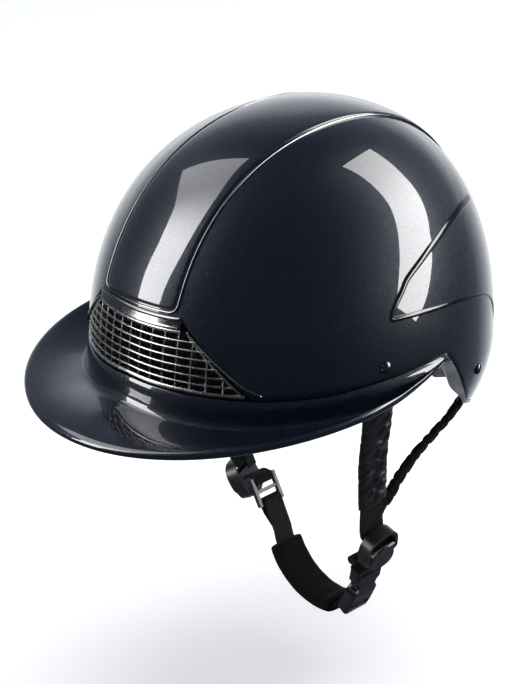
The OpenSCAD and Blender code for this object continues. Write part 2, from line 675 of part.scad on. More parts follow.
module divider() difference() {
    union() {
        facing(0, divider_base) polygon(oval(divider_width, divider_height));
        facing(divider_base - 0.5, rim_height) difference() {
            polygon(oval(divider_width, divider_height));
            polygon(oval(divider_width - 2 * rim_wall, divider_height - 2 * rim_wall));
        }
        intersection() {
            facing(0, rim_height) polygon(oval(divider_width - 0.4, divider_height - 0.4));
            for (side = [1, -1])
                translate([divider_base - 0.5, side > 0 ? ear_inner : -ear_outer, -2.8])
                    cube([rim_height, ear_outer - ear_inner, 5.6]);
        }
    }
    translate([rim_height, 0, -3]) rotate([0, rim_slope, 0])
        translate([0, -divider_width, -divider_height]) cube([rim_height, 2 * divider_width, divider_height]);
    for (z = [divider_slot_z, -divider_slot_z])
        translate([-1, -webbing_width / 2 - 0.5, z - divider_slot / 2])
            cube([divider_base + 4, webbing_width + 1, divider_slot]);
    translate([lever_axis_x, 0, 0]) rotate([90, 0, 0])
        cylinder(h = 2 * ear_outer + 0.4, r = lever_pin + pin_gap, center = true);
}
module cam_lever() {
    barrel_length = 2 * ear_inner - 0.6;
    lever_width = barrel_length - 0.6;
    translate([lever_axis_x, 0, 0]) rotate([90, 0, 0]) cylinder(h = barrel_length, r = lever_barrel, center = true);
    translate([lever_axis_x, 0, 0]) rotate([90, 0, 0]) cylinder(h = 2 * ear_outer, r = lever_pin, center = true);
    facing(lever_axis_x + 0.1, lever_axis_x + 2.4)
        translate([0, 1 - lever_reach / 2]) polygon(oval(lever_width, lever_reach + 2));
}
module hung(hang) translate(hang[0]) rotate(hang[1]) children();

module divider_left() color(black_plastic) hung(left_hang) divider();
module divider_right() color(black_plastic) mirror([1, 0, 0]) hung(right_hang) divider();
module cam_lever_left() color(black_plastic) hung(left_hang) cam_lever();
module cam_lever_right() color(black_plastic) mirror([1, 0, 0]) hung(right_hang) cam_lever();

// ---- Buckle, on an arc about the ladder lock's bar ----

female_start = 9.2;
female_end = 24;
plug_start = 24.3;
plug_end = 33.2;
bar_slot = [10.1, 12.5];
notch_angle = 18.4;
notch_radius = 5.2;
root_radius = 1.4;
plug_slot = [28.2, 31.1];
mouth_half_width = buckle_width / 2 - 2.9;
mouth_half_depth = 2.5;

module round_lock_bar() translate(lock_bar) rotate([-90, 0, 0]) children();
// A block of the arc between two angles, its sides at a depth either way and its ends at a half width
module arc_block(from, to, depth, half_width)
    rotate([0, 0, from]) rotate_extrude(angle = to - from)
        translate([buckle_arc - depth, -half_width]) square([2 * depth, 2 * half_width]);
module rounded_arc(from, to, depth, half_width, corner)
    rotate([0, 0, from]) rotate_extrude(angle = to - from) translate([buckle_arc, 0])
        polygon([for (quarter = [0 : 3], a = steps(0, 90, 4))
            let (turn = quarter * 90 + a, x = depth - corner, y = half_width - corner)
            [(quarter == 0 || quarter == 3 ? x : -x) + corner * cos(turn),
             (quarter < 2 ? y : -y) + corner * sin(turn)]]);
module arc_hole(angle, offset, radius)
    rotate([0, 0, angle]) translate([buckle_arc - 10, 0, offset]) rotate([0, 90, 0]) cylinder(h = 20, r = radius);

module buckle_female() color(black_plastic) round_lock_bar() difference() {
    rounded_arc(female_start, female_end, buckle_half_depth, buckle_width / 2, 2);
    arc_block(bar_slot[1] + 1.5, female_end + 1, mouth_half_depth, mouth_half_width);
    arc_block(bar_slot[0], bar_slot[1], 10, chin_width / 2 + 0.8);
    for (side = [1, -1]) arc_hole(notch_angle, side * (buckle_width / 2 + 0.9), notch_radius);
}
guide_start = 15.6;
guide_half_width = 1.6;
prong_inner = 3.6;
prong_outer = 6;
shoulder = mouth_half_width - 0.5;
prong_half_depth = mouth_half_depth - 0.4;
prong_root = 24;
prong_tip = 14.7;
// The round end of a prong, on the line that it bends about
module prong_pivot(side, radius, half_depth)
    rotate([0, 0, prong_root]) translate([buckle_arc, 0, side * (prong_inner + prong_outer) / 2]) rotate([0, 90, 0])
        cylinder(h = 2 * half_depth, r = radius, center = true);
module buckle_plug() color(black_plastic) round_lock_bar() {
    difference() {
        rounded_arc(plug_start, plug_end, buckle_half_depth, buckle_width / 2 - 0.4, 2);
        arc_block(plug_slot[0], plug_slot[1], 10, chin_width / 2 + 0.8);
        for (side = [1, -1]) prong_pivot(side, root_radius + pin_gap, prong_half_depth + 0.3);
    }
    arc_block(guide_start, plug_start + 0.5, mouth_half_depth - 0.7, guide_half_width);
}
// An arm and its shoulder, as two lengths of arc at widths from the buckle's middle
module prong_at(side) round_lock_bar() {
    prong_pivot(side, root_radius, prong_half_depth - 0.3);
    for (piece = [[prong_root, prong_outer], [prong_tip + 5, shoulder]])
        rotate([0, 0, prong_tip]) rotate_extrude(angle = piece[0] - prong_tip)
            translate([buckle_arc - prong_half_depth, side > 0 ? prong_inner : -piece[1]])
                square([2 * prong_half_depth, piece[1] - prong_inner]);
}
module prong_front() color(black_plastic) prong_at(-1);
module prong_rear() color(black_plastic) prong_at(1);

// ---- Webbing that lies in the plane of the chin ----

function arc_point(angle, radius) = [lock_bar[0] + radius * cos(angle), lock_bar[2] - radius * sin(angle)];
function pad_point(angle) = [pad_arc_centre[0] + pad_arc * cos(angle), pad_arc_centre[2] - pad_arc * sin(angle)];
// A strap's outline in that plane, as a band on both sides of a path
function band(path, depth) =
    let (
        last = len(path) - 1,
        side = [for (i = [0 : last])
            let (along = unit(path[min(i + 1, last)] - path[max(i - 1, 0)]))
            [-along[1], along[0]] * depth / 2])
    concat([for (i = [0 : last]) path[i] + side[i]], [for (i = [last : -1 : 0]) path[i] - side[i]]);
module woven(path) rotate([90, 0, 0])
    linear_extrude(chin_width, center = true) polygon(band(path, webbing_thickness));
loop_inner = lock_bar_radius + 0.3;
loop_middle = loop_inner + webbing_thickness / 2;
module bar_loop(bar) translate(bar) rotate([90, 0, 0]) difference() {
    cylinder(h = chin_width, r = loop_inner + webbing_thickness, center = true);
    cylinder(h = chin_width + 2, r = loop_inner, center = true);
}

// The strap from the divider round the socket's bar, with its spare end rolled up
rolled_end = 2.9;
module buckle_strap() color(black_fabric) {
    low = function (local) divider_point(left_hang, local);
    slot = arc_point((bar_slot[0] + bar_slot[1]) / 2, buckle_arc);
    across = turn_by(divider_across, divider_turn);
    sweep(strap_rings(curve([
        low([divider_base + slot_depth, 0, -2.5]), low([divider_base + slot_depth, 0, -divider_slot_z + 2.6]),
        low([divider_base / 2, 0, -divider_slot_z]), low([-slot_depth - 0.4, 0, -divider_slot_z - 2.6]),
        [slot[0] - 2.6, -1, slot[1] + 6.5], [slot[0] - 5.6, 0, slot[1] + 1.6], [slot[0] - 2.8, 0, slot[1] - 0.1],
        [slot[0] + 4, 0, slot[1] - 0.9]], 4),
        chin_width, webbing_thickness, across, [0, 1, 0]));
    translate([slot[0] - 5.2, -1, slot[1] + 7.8]) rotate([90, 0, 0])
        cylinder(h = chin_width, r = rolled_end, center = true);
}

webbing_arc = [72, 169];
module chin_webbing() color(black_fabric) {
    down = pad_point(webbing_arc[1]);
    bar = [lock_bar[0], lock_bar[2]];
    fall = unit(down - bar);
    side = [-fall[1], fall[0]] * loop_middle;
    slot_angle = (plug_slot[0] + plug_slot[1]) / 2;
    start = [arc_point(slot_angle, buckle_arc + 2.5), arc_point(slot_angle, buckle_arc - 2.5),
        arc_point(slot_angle + 1.5, buckle_arc - 5.8)];
    woven(concat(start, [for (a = steps(webbing_arc[0], webbing_arc[1], 24)) pad_point(a)], [bar + side]));
    woven([bar - side, bar - side * 0.85 + fall * 7, bar + side * 0.1 + fall * 16]);
    bar_loop(lock_bar);
}

pad_span = [76, 157];
pad_depth = 9.6;
pad_width = 26;
module chin_pad() color(black_fabric)
    translate(pad_arc_centre) rotate([-90, 0, 0]) rotate([0, 0, pad_span[0]])
        rotate_extrude(angle = pad_span[1] - pad_span[0]) translate([pad_arc, 0]) difference() {
            polygon([for (quarter = [0 : 3], a = steps(0, 90, 4))
                let (turn = quarter * 90 + a, x = pad_depth / 2 - 3, y = pad_width / 2 - 3)
                [(quarter == 0 || quarter == 3 ? x : -x) + 3 * cos(turn), (quarter < 2 ? y : -y) + 3 * sin(turn)]]);
            square([webbing_thickness + 0.8, chin_width + 1.4], center = true);
        }

lock_length = 15;
lock_lean = -29;
lock_half_width = chin_width / 2 + 0.8;
lock_top = lock_bar + lock_length * [sin(lock_lean), 0, cos(lock_lean)];
module ladder_lock() color(black_plastic) translate(lock_bar) rotate([0, lock_lean, 0]) {
    for (z = [0, lock_length])
        translate([0, 0, z]) rotate([90, 0, 0])
            cylinder(h = 2 * lock_half_width + 1, r = lock_bar_radius, center = true);
    translate([-0.9, -lock_half_width - 0.5, lock_length / 2 - 1.2]) cube([1.8, 2 * lock_half_width + 1, 2.4]);
    for (side = [1, -1])
        translate([-1.6, side > 0 ? lock_half_width : -lock_half_width - 2.4, -lock_bar_radius - 0.6])
            cube([3.2, 2.4, lock_length + 2 * lock_bar_radius + 1.2]);
}
module lock_strap() color(black_fabric) {
    top = [lock_top[0], lock_top[2]];
    woven([[-47.2, -118.6], [-45.5, -116], [-43, -114.6], top + [-3, loop_middle + 0.1], top + [0, loop_middle]]);
    bar_loop(lock_top);
}

outer_shell();
centre_panel();
panel_trim();
header_bar();
front_grille();
vent_mesh();
opening_trim();
brim();
rear_vent();
side_trim_left();
side_trim_right();
rim_trim();
foam_liner();
headband_front();
headband_rear();
side_pad_left();
side_pad_right();
crown_pad();
front_rivets();
rear_rivets();
rivet_washers();
front_strap_left();
front_strap_right();
front_sleeve_left();
front_sleeve_right();
rear_strap_left();
rear_strap_right();
rear_sleeve_left();
rear_sleeve_right();
divider_left();
divider_right();
cam_lever_left();
cam_lever_right();
buckle_strap();
buckle_female();
buckle_plug();
prong_front();
prong_rear();
chin_webbing();
chin_pad();
ladder_lock();
lock_strap();
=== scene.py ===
import math

import bmesh
import bpy
import numpy as np
from mathutils import Matrix, Vector, noise


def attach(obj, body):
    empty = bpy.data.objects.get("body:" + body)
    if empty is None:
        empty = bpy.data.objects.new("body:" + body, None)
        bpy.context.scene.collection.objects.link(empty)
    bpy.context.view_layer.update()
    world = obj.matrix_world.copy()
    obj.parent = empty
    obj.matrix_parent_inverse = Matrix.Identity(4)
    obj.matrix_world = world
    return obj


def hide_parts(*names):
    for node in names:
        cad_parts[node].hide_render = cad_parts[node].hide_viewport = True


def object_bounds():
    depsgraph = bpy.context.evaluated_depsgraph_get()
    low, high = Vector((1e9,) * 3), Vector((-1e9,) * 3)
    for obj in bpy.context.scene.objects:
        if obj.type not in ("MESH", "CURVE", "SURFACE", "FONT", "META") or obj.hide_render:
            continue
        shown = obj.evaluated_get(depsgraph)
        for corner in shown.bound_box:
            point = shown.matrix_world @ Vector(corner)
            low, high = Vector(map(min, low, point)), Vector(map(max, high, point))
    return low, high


# A riding helmet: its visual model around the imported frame. Shapes are worked out in millimetres.
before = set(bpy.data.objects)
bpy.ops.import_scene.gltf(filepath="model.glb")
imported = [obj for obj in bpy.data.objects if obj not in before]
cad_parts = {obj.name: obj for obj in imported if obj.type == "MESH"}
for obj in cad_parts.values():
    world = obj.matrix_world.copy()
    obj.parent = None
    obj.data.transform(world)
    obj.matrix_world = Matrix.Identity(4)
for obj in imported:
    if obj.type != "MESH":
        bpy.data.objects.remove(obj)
cad_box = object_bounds()
MM = 0.001

# ---- Driving dimensions ----

# Most are the CAD's. Among this model's own are the foam's outer face and its edge behind the notch,
# the rim's reach, the grille's bars and the sleeves' sizes.
# A line round the dome is a list of (bearing from the front, height).

HALF_WIDTH = 114.8
FRONT = 140.9
BACK = 131.2
HEIGHT = 148.8
WALL = 3.5
CROWN_POWER = 2.34
NAPE_TUCK = 0.15
TUCK_DEPTH = 50
SEAM_LINE = [(0, 21), (20, 19), (45, 16), (60, 15.5), (73, 17.5), (95.5, 19)]
NAPE_LINE = [(95.5, 19), (99, 9), (104, -11), (109, -26), (120, -37), (140, -46), (180, -42)]
FOAM_LINE = [(0, 1.5), (58, 1.5), (80, 9), (95.5, 23), (99, 17), (104, 8), (109, 0), (120, -17),
             (130, -30), (140, -40), (180, -36)]
JUNCTION_LINE = [(0, 5.6), (21, 0.9), (43, -1.5), (70, 1), (85, 8), (95, 17.4)]
NOTCH = 95.5
NOTCH_STATIONS = (97, 99, 101.5, 104, 106.5)
VENT_TOP, VENT_FOOT = 60, 17
VENT_TOP_BEARING, VENT_FOOT_BEARING = 19.4, 39.4
VENT_SPREAD = VENT_FOOT_BEARING - VENT_TOP_BEARING
VENT_CLEARANCE = 1.5                  # degrees between the grille's sloping sides and the opening
PANEL_HALF = 29.4
PANEL_LENGTH = 300
PANEL_CORNER = 4
PANEL_FRONT, PANEL_BACK = 66.2, 44.0  # heights of the panel's two ends
PANEL_TRIM_GAP = 1.4
HEADER_HALF = 18.5                    # half of the header bar's width, in degrees
HEADER_LOW, HEADER_HIGH = 56.5, 63.6
GRILLE_TOP = 54.8
GRILLE_FOOT_GAP = 2
GRILLE_ROWS = 6
GRILLE_COLUMNS = 17
GRILLE_PITCH = 128 / 15
GRILLE_BAR = 1.25
GRILLE_BACK = 3.6
BRIM_BEARING = 94
BRIM_SWEEP = 112
BRIM_HALF_WIDTH = 122.2
BRIM_REACH = 134.6
BRIM_CENTRE = -53.1
BRIM_THICKNESS = 4.6
BAND_SWELL = 2.2
RIM_REACH, RIM_NARROW, RIM_DEPTH = 10.5, 3.1, 2.6
REAR_EXIT_BEARING = 118
FOAM_OUTSIDE, CAVITY = 9.2, 30.6      # insets of the foam's two faces from the dome
PAD_OUTER = 31.0
PAD_THICKNESS = 5
FRONT_RIVET = (74.8, 25.3)
REAR_RIVET = (112, -7)
WEBBING_WIDTH = 19
REAR_WIDTH = 12
WEBBING = 1.4
SLEEVE_SIZE, REAR_SLEEVE_SIZE = (22, 3.8), (13.0, 3.8)
STRAP_INSET = WALL + 0.9 + WEBBING / 2
PAD_ARC_CENTRE = np.array([23.8, 0, -138.9])
PAD_ARC = 43.5
PAD_SPAN = (76, 157)
PAD_DEPTH = 9.6
PAD_WIDTH = 26
PAD_LENGTH = 61
SIDES = (("left", 1), ("right", -1))


# ---- Numbers and curves ----

def soft(t):
    """A smooth step from 0 to 1."""
    t = np.clip(t, 0, 1)
    return t * t * (3 - 2 * t)


def bulge(t, centre, width):
    """A smooth bump of height one."""
    return np.exp(-((t - centre) / width) ** 2)


def mix(a, b, t):
    return a + (b - a) * t


def unit(v):
    v = np.asarray(v, float)
    return v / np.maximum(np.linalg.norm(v, axis=-1, keepdims=True), 1e-12)


def read_line(line, key, spread=2.0):
    """A value along (key, value) pairs, its corners softened over a few degrees."""
    keys, values = zip(*line)
    offsets = np.linspace(-spread, spread, 5)
    key = np.asarray(key, float)
    return np.mean([np.interp(key + o, keys, values) for o in offsets], axis=0)


def curve(points, count):
    """A smooth curve through points, with a number of steps in each span."""
    p = np.asarray(points, float)
    last = len(p) - 1
    out = []
    for i in range(last):
        a, b, c, d = p[max(i - 1, 0)], p[i], p[i + 1], p[min(i + 2, last)]
        for s in range(count):
            t = s / count
            out.append(0.5 * (2 * b + (c - a) * t + (2 * a - 5 * b + 4 * c - d) * t * t
                              + (3 * b - a - 3 * c + d) * t ** 3))
    return np.array(out + [p[last]])


def run_along(path):
    """The length travelled along a path, at each of its points."""
    return np.concatenate([[0], np.cumsum(np.linalg.norm(np.diff(path, axis=0), axis=1))])


# ---- The dome ----

def arrays(*values):
    """The values as arrays of one shape."""
    return np.broadcast_arrays(*(np.asarray(value, float) for value in values))


def outline_share(z, h):
    """The share of the dome's full outline that is left at a height, tucked in below the widest place."""
    z = np.asarray(z, float)
    up = np.maximum(1 - np.clip(z / h, 0, 1) ** CROWN_POWER, 0) ** (1 / CROWN_POWER)
    return np.where(z > 0, up, 1 - NAPE_TUCK * (z / TUCK_DEPTH) ** 2)


def on_dome(bearing, z, inset):
    """Points at bearings and heights, moved inwards from the dome's surface."""
    b, z, inset = arrays(np.radians(bearing), z, inset)
    share = outline_share(z, HEIGHT - inset)
    along = np.where(np.cos(b) > 0, FRONT, BACK)
    return np.stack([(HALF_WIDTH - inset) * share * np.sin(b), -(along - inset) * share * np.cos(b), z], -1)


def outward(p):
    """The dome's outward direction at points near it."""
    p = np.asarray(p, float)
    x, y, z = p[..., 0], p[..., 1], p[..., 2]
    along = np.where(y < 0, FRONT, BACK)
    share = np.maximum(outline_share(z, HEIGHT), 1e-3)
    swell = np.where(z > 0, share ** (CROWN_POWER - 2), 1)
    rise = np.where(z > 0, np.clip(z / HEIGHT, 0, 1) ** (CROWN_POWER - 1) / HEIGHT,
                    2 * share * NAPE_TUCK * z / TUCK_DEPTH ** 2)
    return unit(np.stack([x / HALF_WIDTH ** 2 * swell, y / along ** 2 * swell, rise], -1))


def strip_top(side, h):
    """The dome's greatest height at a share of its half width."""
    return h * (1 - side ** CROWN_POWER) ** (1 / CROWN_POWER)


def on_strip(x, turn, inset):
    """Points of the dome at a distance from its middle plane, by a turn over the crown from front to back."""
    x, turn, inset = arrays(x, turn, inset)
    h = HEIGHT - inset
    side = np.abs(x) / (HALF_WIDTH - inset)
    z = strip_top(side, h) * np.sin(np.radians(turn)) ** (2 / CROWN_POWER)
    reach = np.sqrt(np.maximum(outline_share(z, h) ** 2 - side ** 2, 0))
    along = np.where(turn < 90, -FRONT + inset, BACK - inset)
    return np.stack([x, along * reach, z], -1)


def strip_turn(x, z):
    """The turn over the crown at which the dome has a height."""
    top = strip_top(np.abs(x) / HALF_WIDTH, HEIGHT)
    return np.degrees(np.arcsin((z / top) ** (CROWN_POWER / 2)))


def fold_bearing(b):
    """The bearing on the left side that mirrors a bearing all round."""
    b = np.asarray(b, float) % 360
    return np.where(b > 180, 360 - b, b)


def seam(b):
    return read_line(SEAM_LINE, fold_bearing(b))


def nape(b):
    return read_line(NAPE_LINE, fold_bearing(b), 1.0)


def shell_edge(b):
    """The height of the shell's lower edge: round the vent, along the seam, then along the nape."""
    a = fold_bearing(b)
    slope = mix(VENT_TOP, VENT_FOOT, (a - VENT_TOP_BEARING) / VENT_SPREAD)
    vent = np.where(a <= VENT_TOP_BEARING, VENT_TOP, slope)
    return np.where(a >= NOTCH, nape(a), np.where(a < VENT_FOOT_BEARING, vent, seam(a)))


def row_height(z, share, h):
    """A height part of the way from z to the crown, by even steps of angle."""
    angle = np.where(z > 0, np.arcsin(np.clip(z / h, 0, 1)), z / h)
    angle = mix(angle, np.pi / 2, share)
    return np.where(angle > 0, h * np.sin(np.maximum(angle, 0)), h * angle)


# ---- Mesh building ----

def grid_faces(rows, columns, around=False, ends=False):
    """Quads over a grid of points; around joins the columns' ends, ends joins the last row to the first."""
    faces = []
    for r in range(rows if ends else rows - 1):
        for c in range(columns if around else columns - 1):
            low, high = r * columns, (r + 1) % rows * columns
            faces.append((low + c, low + (c + 1) % columns, high + (c + 1) % columns, high + c))
    return faces


def placed(name, data):
    """An object for a mesh, light or camera, in the scene."""
    made = bpy.data.objects.new(name, data)
    bpy.context.scene.collection.objects.link(made)
    return made


def piece_from(name, points, faces, material, uv=None, sharp=None):
    mesh = bpy.data.meshes.new(name)
    mesh.from_pydata((np.asarray(points, float) * MM).tolist(), [], faces)
    edited = bmesh.new()
    edited.from_mesh(mesh)
    if uv is not None:
        layer = edited.loops.layers.uv.new("UVMap")
        for face in edited.faces:
            for loop in face.loops:
                loop[layer].uv = uv[loop.vert.index]
    bmesh.ops.recalc_face_normals(edited, faces=edited.faces)
    edited.to_mesh(mesh)
    edited.free()
    mesh.polygons.foreach_set("use_smooth", [True] * len(mesh.polygons))
    if sharp:
        mesh.set_sharp_from_angle(angle=math.radians(sharp))
    mesh.materials.append(material)
    return placed(name, mesh)


def tube(rings, loop=False):
    """Points and faces of a bar with a ring of points at each station."""
    rings = np.asarray(rings, float)
    count, sides = rings.shape[:2]
    faces = grid_faces(count, sides, around=True, ends=loop)
    if not loop:
        faces.append(tuple(range(sides)))
        faces.append(tuple((count - 1) * sides + c for c in reversed(range(sides))))
    return rings.reshape(-1, 3), faces


def slab(front, back):
    """Points and faces of a closed plate between two grids of points."""
    rows, columns = front.shape[:2]
    count = rows * columns
    faces = grid_faces(rows, columns)
    faces += [tuple(count + k for k in reversed(f)) for f in grid_faces(rows, columns)]
    rim = list(range(columns)) + [r * columns + columns - 1 for r in range(1, rows)]
    rim += [(rows - 1) * columns + c for c in reversed(range(columns - 1))]
    rim += [r * columns for r in reversed(range(1, rows - 1))]
    for a, b in zip(rim, rim[1:] + rim[:1]):
        faces.append((b, a, count + a, count + b))
    return np.concatenate([front.reshape(-1, 3), back.reshape(-1, 3)]), faces


def gather(parts):
    """Joins (points, faces) pairs into one."""
    points, faces, start = [], [], 0
    for p, f in parts:
        points.append(p)
        faces += [tuple(start + k for k in face) for face in f]
        start += len(p)
    return np.concatenate(points), faces


def finish_piece(piece, body, node):
    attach(piece, body)
    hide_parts(node)


def helmet_piece(name, shape, material, slot, node, **settings):
    piece = piece_from(name, *shape, material, **settings)
    finish_piece(piece, "helmet", node)
    return piece


def add_bevel(piece, width, angle):
    bevel = piece.modifiers.new("Edges", "BEVEL")
    bevel.width = width * MM
    bevel.segments = 3
    bevel.limit_method = "ANGLE"
    bevel.angle_limit = math.radians(angle)
    bevel.harden_normals = True


def add_subdivision(piece, levels):
    sub = piece.modifiers.new("Smooth", "SUBSURF")
    sub.levels = levels
    sub.render_levels = levels


def mirrored(points):
    return np.asarray(points) * np.array([-1, 1, 1])


def ridge_rings(path, width, height, lift, loop=False, taper=None):
    """Half-round rings along a path on the dome, with their foot a little inside it."""
    foot = lift - 0.6
    path = np.asarray(path, float)
    along = np.roll(path, -1, 0) - np.roll(path, 1, 0) if loop else np.gradient(path, axis=0)
    up = outward(path)
    side = unit(np.cross(up, along))
    angles = np.linspace(0, np.pi, 10)
    scale = np.ones(len(path)) if taper is None else taper
    rings = []
    for p, u, s, k in zip(path, up, side, scale):
        half = width / 2 * k
        ring = [p + s * half * np.cos(a) + u * (lift + height * k * np.sin(a) ** 0.8) for a in angles]
        rings.append(ring + [p - s * half + u * foot, p + s * half + u * foot])
    return np.array(rings)


def resampled(path, count, loop=False):
    """The same path with its points at equal distances."""
    path = np.asarray(path, float)
    if loop:
        path = np.concatenate([path, path[:1]])
    steps = run_along(path)
    marks = np.linspace(0, steps[-1], count + 1 if loop else count)
    out = np.stack([np.interp(marks, steps, path[:, k]) for k in range(3)], -1)
    return out[:-1] if loop else out


# ---- Materials ----

def added(tree, kind, inputs=(), **settings):
    """A new node in a tree, with its settings made and its inputs set or linked."""
    made = tree.nodes.new("ShaderNode" + kind)
    for key, value in settings.items():
        setattr(made, key, value)
    for key, value in dict(inputs).items():
        if isinstance(value, bpy.types.NodeSocket):
            tree.links.new(value, made.inputs[key])
        else:
            made.inputs[key].default_value = value
    return made


class Look:
    """A node material around one Principled shader, with object coordinates in metres."""

    def __init__(self, name, colour, roughness, finish=()):
        self.material = bpy.data.materials.new(name)
        self.material.use_nodes = True
        self.tree = self.material.node_tree
        self.shader = self.tree.nodes["Principled BSDF"]
        for key, value in {"Base Color": (*colour, 1), "Roughness": roughness, **dict(finish)}.items():
            self.shader.inputs[key].default_value = value
        self.place = self.node("TexCoord").outputs["Object"]

    def node(self, kind, inputs=(), **settings):
        return added(self.tree, kind, inputs, **settings)

    def drive(self, key, socket):
        self.tree.links.new(socket, self.shader.inputs[key])

    def cells(self, scale):
        return self.node("TexVoronoi", {"Vector": self.place, "Scale": scale}).outputs["Color"]

    def cell_walls(self, scale, width):
        """Zero on the walls between cells, rising to one over a share of a cell."""
        made = self.node("TexVoronoi", {"Vector": self.place, "Scale": scale}, feature="DISTANCE_TO_EDGE")
        return self.ramp(made.outputs["Distance"], 0, width)

    def grain(self, scale, detail=3.0):
        return self.node("TexNoise", {"Vector": self.place, "Scale": scale, "Detail": detail}).outputs["Fac"]

    def bands(self, place, scale, distortion, direction, detail=1.0, detail_scale=1.0):
        inputs = {"Vector": place, "Scale": scale, "Distortion": distortion, "Detail": detail,
                  "Detail Scale": detail_scale}
        return self.node("TexWave", inputs, bands_direction=direction).outputs["Fac"]

    def ramp(self, value, low, high, start=0.0, end=1.0):
        made = self.node("MapRange", {"Value": value, "From Min": low, "From Max": high, "To Min": start,
                                      "To Max": end})
        return made.outputs["Result"]

    def spread(self, noise_value, start, end):
        """A noise's usual range, spread from start to end."""
        return self.ramp(noise_value, 0.3, 0.7, start, end)

    def maths(self, operation, a, b):
        return self.node("Math", {0: a, 1: b}, operation=operation).outputs[0]

    def shared(self, a, b, share):
        """Two patterns added, the first with its share and the second with the rest."""
        return self.maths("ADD", self.maths("MULTIPLY", a, share), self.maths("MULTIPLY", b, 1 - share))

    def blend(self, factor, a, b):
        made = self.node("Mix", {"Factor": factor, 6: (*a, 1), 7: (*b, 1)}, data_type="RGBA")
        return made.outputs[2]

    def tint(self, factor, a, b):
        self.drive("Base Color", self.blend(factor, a, b))

    def worn_roughness(self, fine, low, high, wear, extra):
        rougher = self.maths("MULTIPLY", wear, extra)
        self.drive("Roughness", self.maths("ADD", self.spread(fine, low, high), rougher))

    def bump(self, height, strength, distance):
        made = self.node("Bump", {"Height": height, "Strength": strength, "Distance": distance})
        self.drive("Normal", made.outputs["Normal"])


def flake_paint():
    """Deep navy under a clear coat, with sparse fine flakes that catch the light."""
    look = Look("PaintNavyFlake", (0.004, 0.006, 0.011), 0.35,
                {"Coat Weight": 1.0, "Coat Roughness": 0.015, "Coat IOR": 1.5, "Specular IOR Level": 0.15})
    cell = look.node("SeparateColor", {"Color": look.cells(3000)}).outputs
    flake = look.ramp(cell["Red"], 0.93, 0.97)
    look.tint(flake, (0.0017, 0.0036, 0.0092), (0.03, 0.046, 0.085))
    look.drive("Metallic", flake)
    look.drive("Roughness", look.ramp(cell["Green"], 0, 1, 0.24, 0.42))
    look.bump(cell["Blue"], 0.2, 0.0002)
    return look.material


def dark_chrome(name, colour, low, high):
    """Plated metal, duller and darker in its scuffs."""
    look = Look(name, colour, low, {"Metallic": 1.0})
    haze = look.grain(260, 5)
    scuff = look.ramp(look.grain(55, 6), 0.45, 0.75)
    look.worn_roughness(haze, low, high, scuff, 0.05)
    look.tint(scuff, colour, tuple(0.8 * c for c in colour))
    look.bump(look.grain(900, 2), 0.03, 0.0002)
    return look.material


def moulded(name, colour, low, high, grain_scale, depth, shine):
    """Moulded plastic with a fine grain, paler and rougher where it is worn."""
    look = Look(name, colour, low, {"Specular IOR Level": shine})
    speck = look.grain(grain_scale)
    wear = look.ramp(look.grain(90, 5), 0.5, 0.72)
    look.worn_roughness(speck, low, high, wear, 0.08)
    look.tint(wear, colour, tuple(1.6 * c + 0.001 for c in colour))
    look.bump(speck, 0.25, depth)
    return look.material


def webbing_look(name, shine, sheen):
    finish = {"Specular IOR Level": shine, "Sheen Weight": sheen}
    return Look(name, (0.006, 0.006, 0.007), 0.7, finish)


def ribbed_webbing():
    """Webbing with ribs across it, from the strap's own map in millimetres across and along."""
    look = webbing_look("WebbingRibbed", 0.08, 0.01)
    place = look.node("UVMap", uv_map="UVMap").outputs["UV"]
    ribs = look.bands(place, 0.2, 0.35, "Y")
    threads = look.bands(place, 0.42, 0.5, "X")
    weave = look.shared(ribs, threads, 0.7)
    look.tint(weave, (0.0006, 0.0006, 0.0008), (0.014, 0.0143, 0.0158))
    look.drive("Roughness", look.spread(look.grain(500), 0.5, 0.72))
    look.bump(weave, 0.8, 0.0006)
    return look.material


def plane_webbing():
    """Webbing whose weave follows the object's own axes."""
    look = webbing_look("WebbingChin", 0.12, 0.02)
    ribs = look.bands(look.place, 250.0, 0.6, "Y")
    cross = look.bands(look.place, 190.0, 0.6, "X")
    weave = look.shared(ribs, cross, 0.5)
    look.tint(weave, (0.001, 0.001, 0.0013), (0.008, 0.0083, 0.0094))
    look.bump(weave, 0.7, 0.0004)
    return look.material


def sleeve_leather():
    finish = {"Specular IOR Level": 0.45, "Sheen Weight": 0.01}
    look = Look("SleeveLeather", (0.003, 0.003, 0.0036), 0.38, finish)
    grain = look.cell_walls(1300.0, 0.12)
    look.tint(look.grain(130, 4), (0.0018, 0.0018, 0.0022), (0.005, 0.005, 0.0058))
    look.drive("Roughness", look.spread(look.grain(220, 4), 0.36, 0.5))
    look.bump(grain, 0.2, 0.0002)
    return look.material


def brushed_fabric(name, dark, light, scale, sheen):
    """A knit with a short nap."""
    look = Look(name, dark, 0.85, {"Specular IOR Level": 0.1, "Sheen Weight": sheen, "Sheen Roughness": 0.35})
    knit = look.bands(look.place, scale, 3.0, "DIAGONAL", 2.0, 3.0)
    fuzz = look.grain(scale * 5, 5)
    nap = look.shared(knit, fuzz, 0.45)
    look.tint(nap, dark, light)
    look.drive("Roughness", look.ramp(fuzz, 0.2, 0.8, 0.72, 0.95))
    look.bump(nap, 0.7, 0.0006)
    return look.material


def bead_foam():
    look = Look("FoamBeads", (0.06, 0.06, 0.064), 0.8, {"Specular IOR Level": 0.2})
    skin = look.cell_walls(330.0, 0.16)
    look.tint(skin, (0.03, 0.031, 0.034), (0.1, 0.102, 0.108))
    look.drive("Roughness", look.ramp(look.cells(330), 0, 1, 0.68, 0.88))
    look.bump(skin, 0.5, 0.0005)
    return look.material


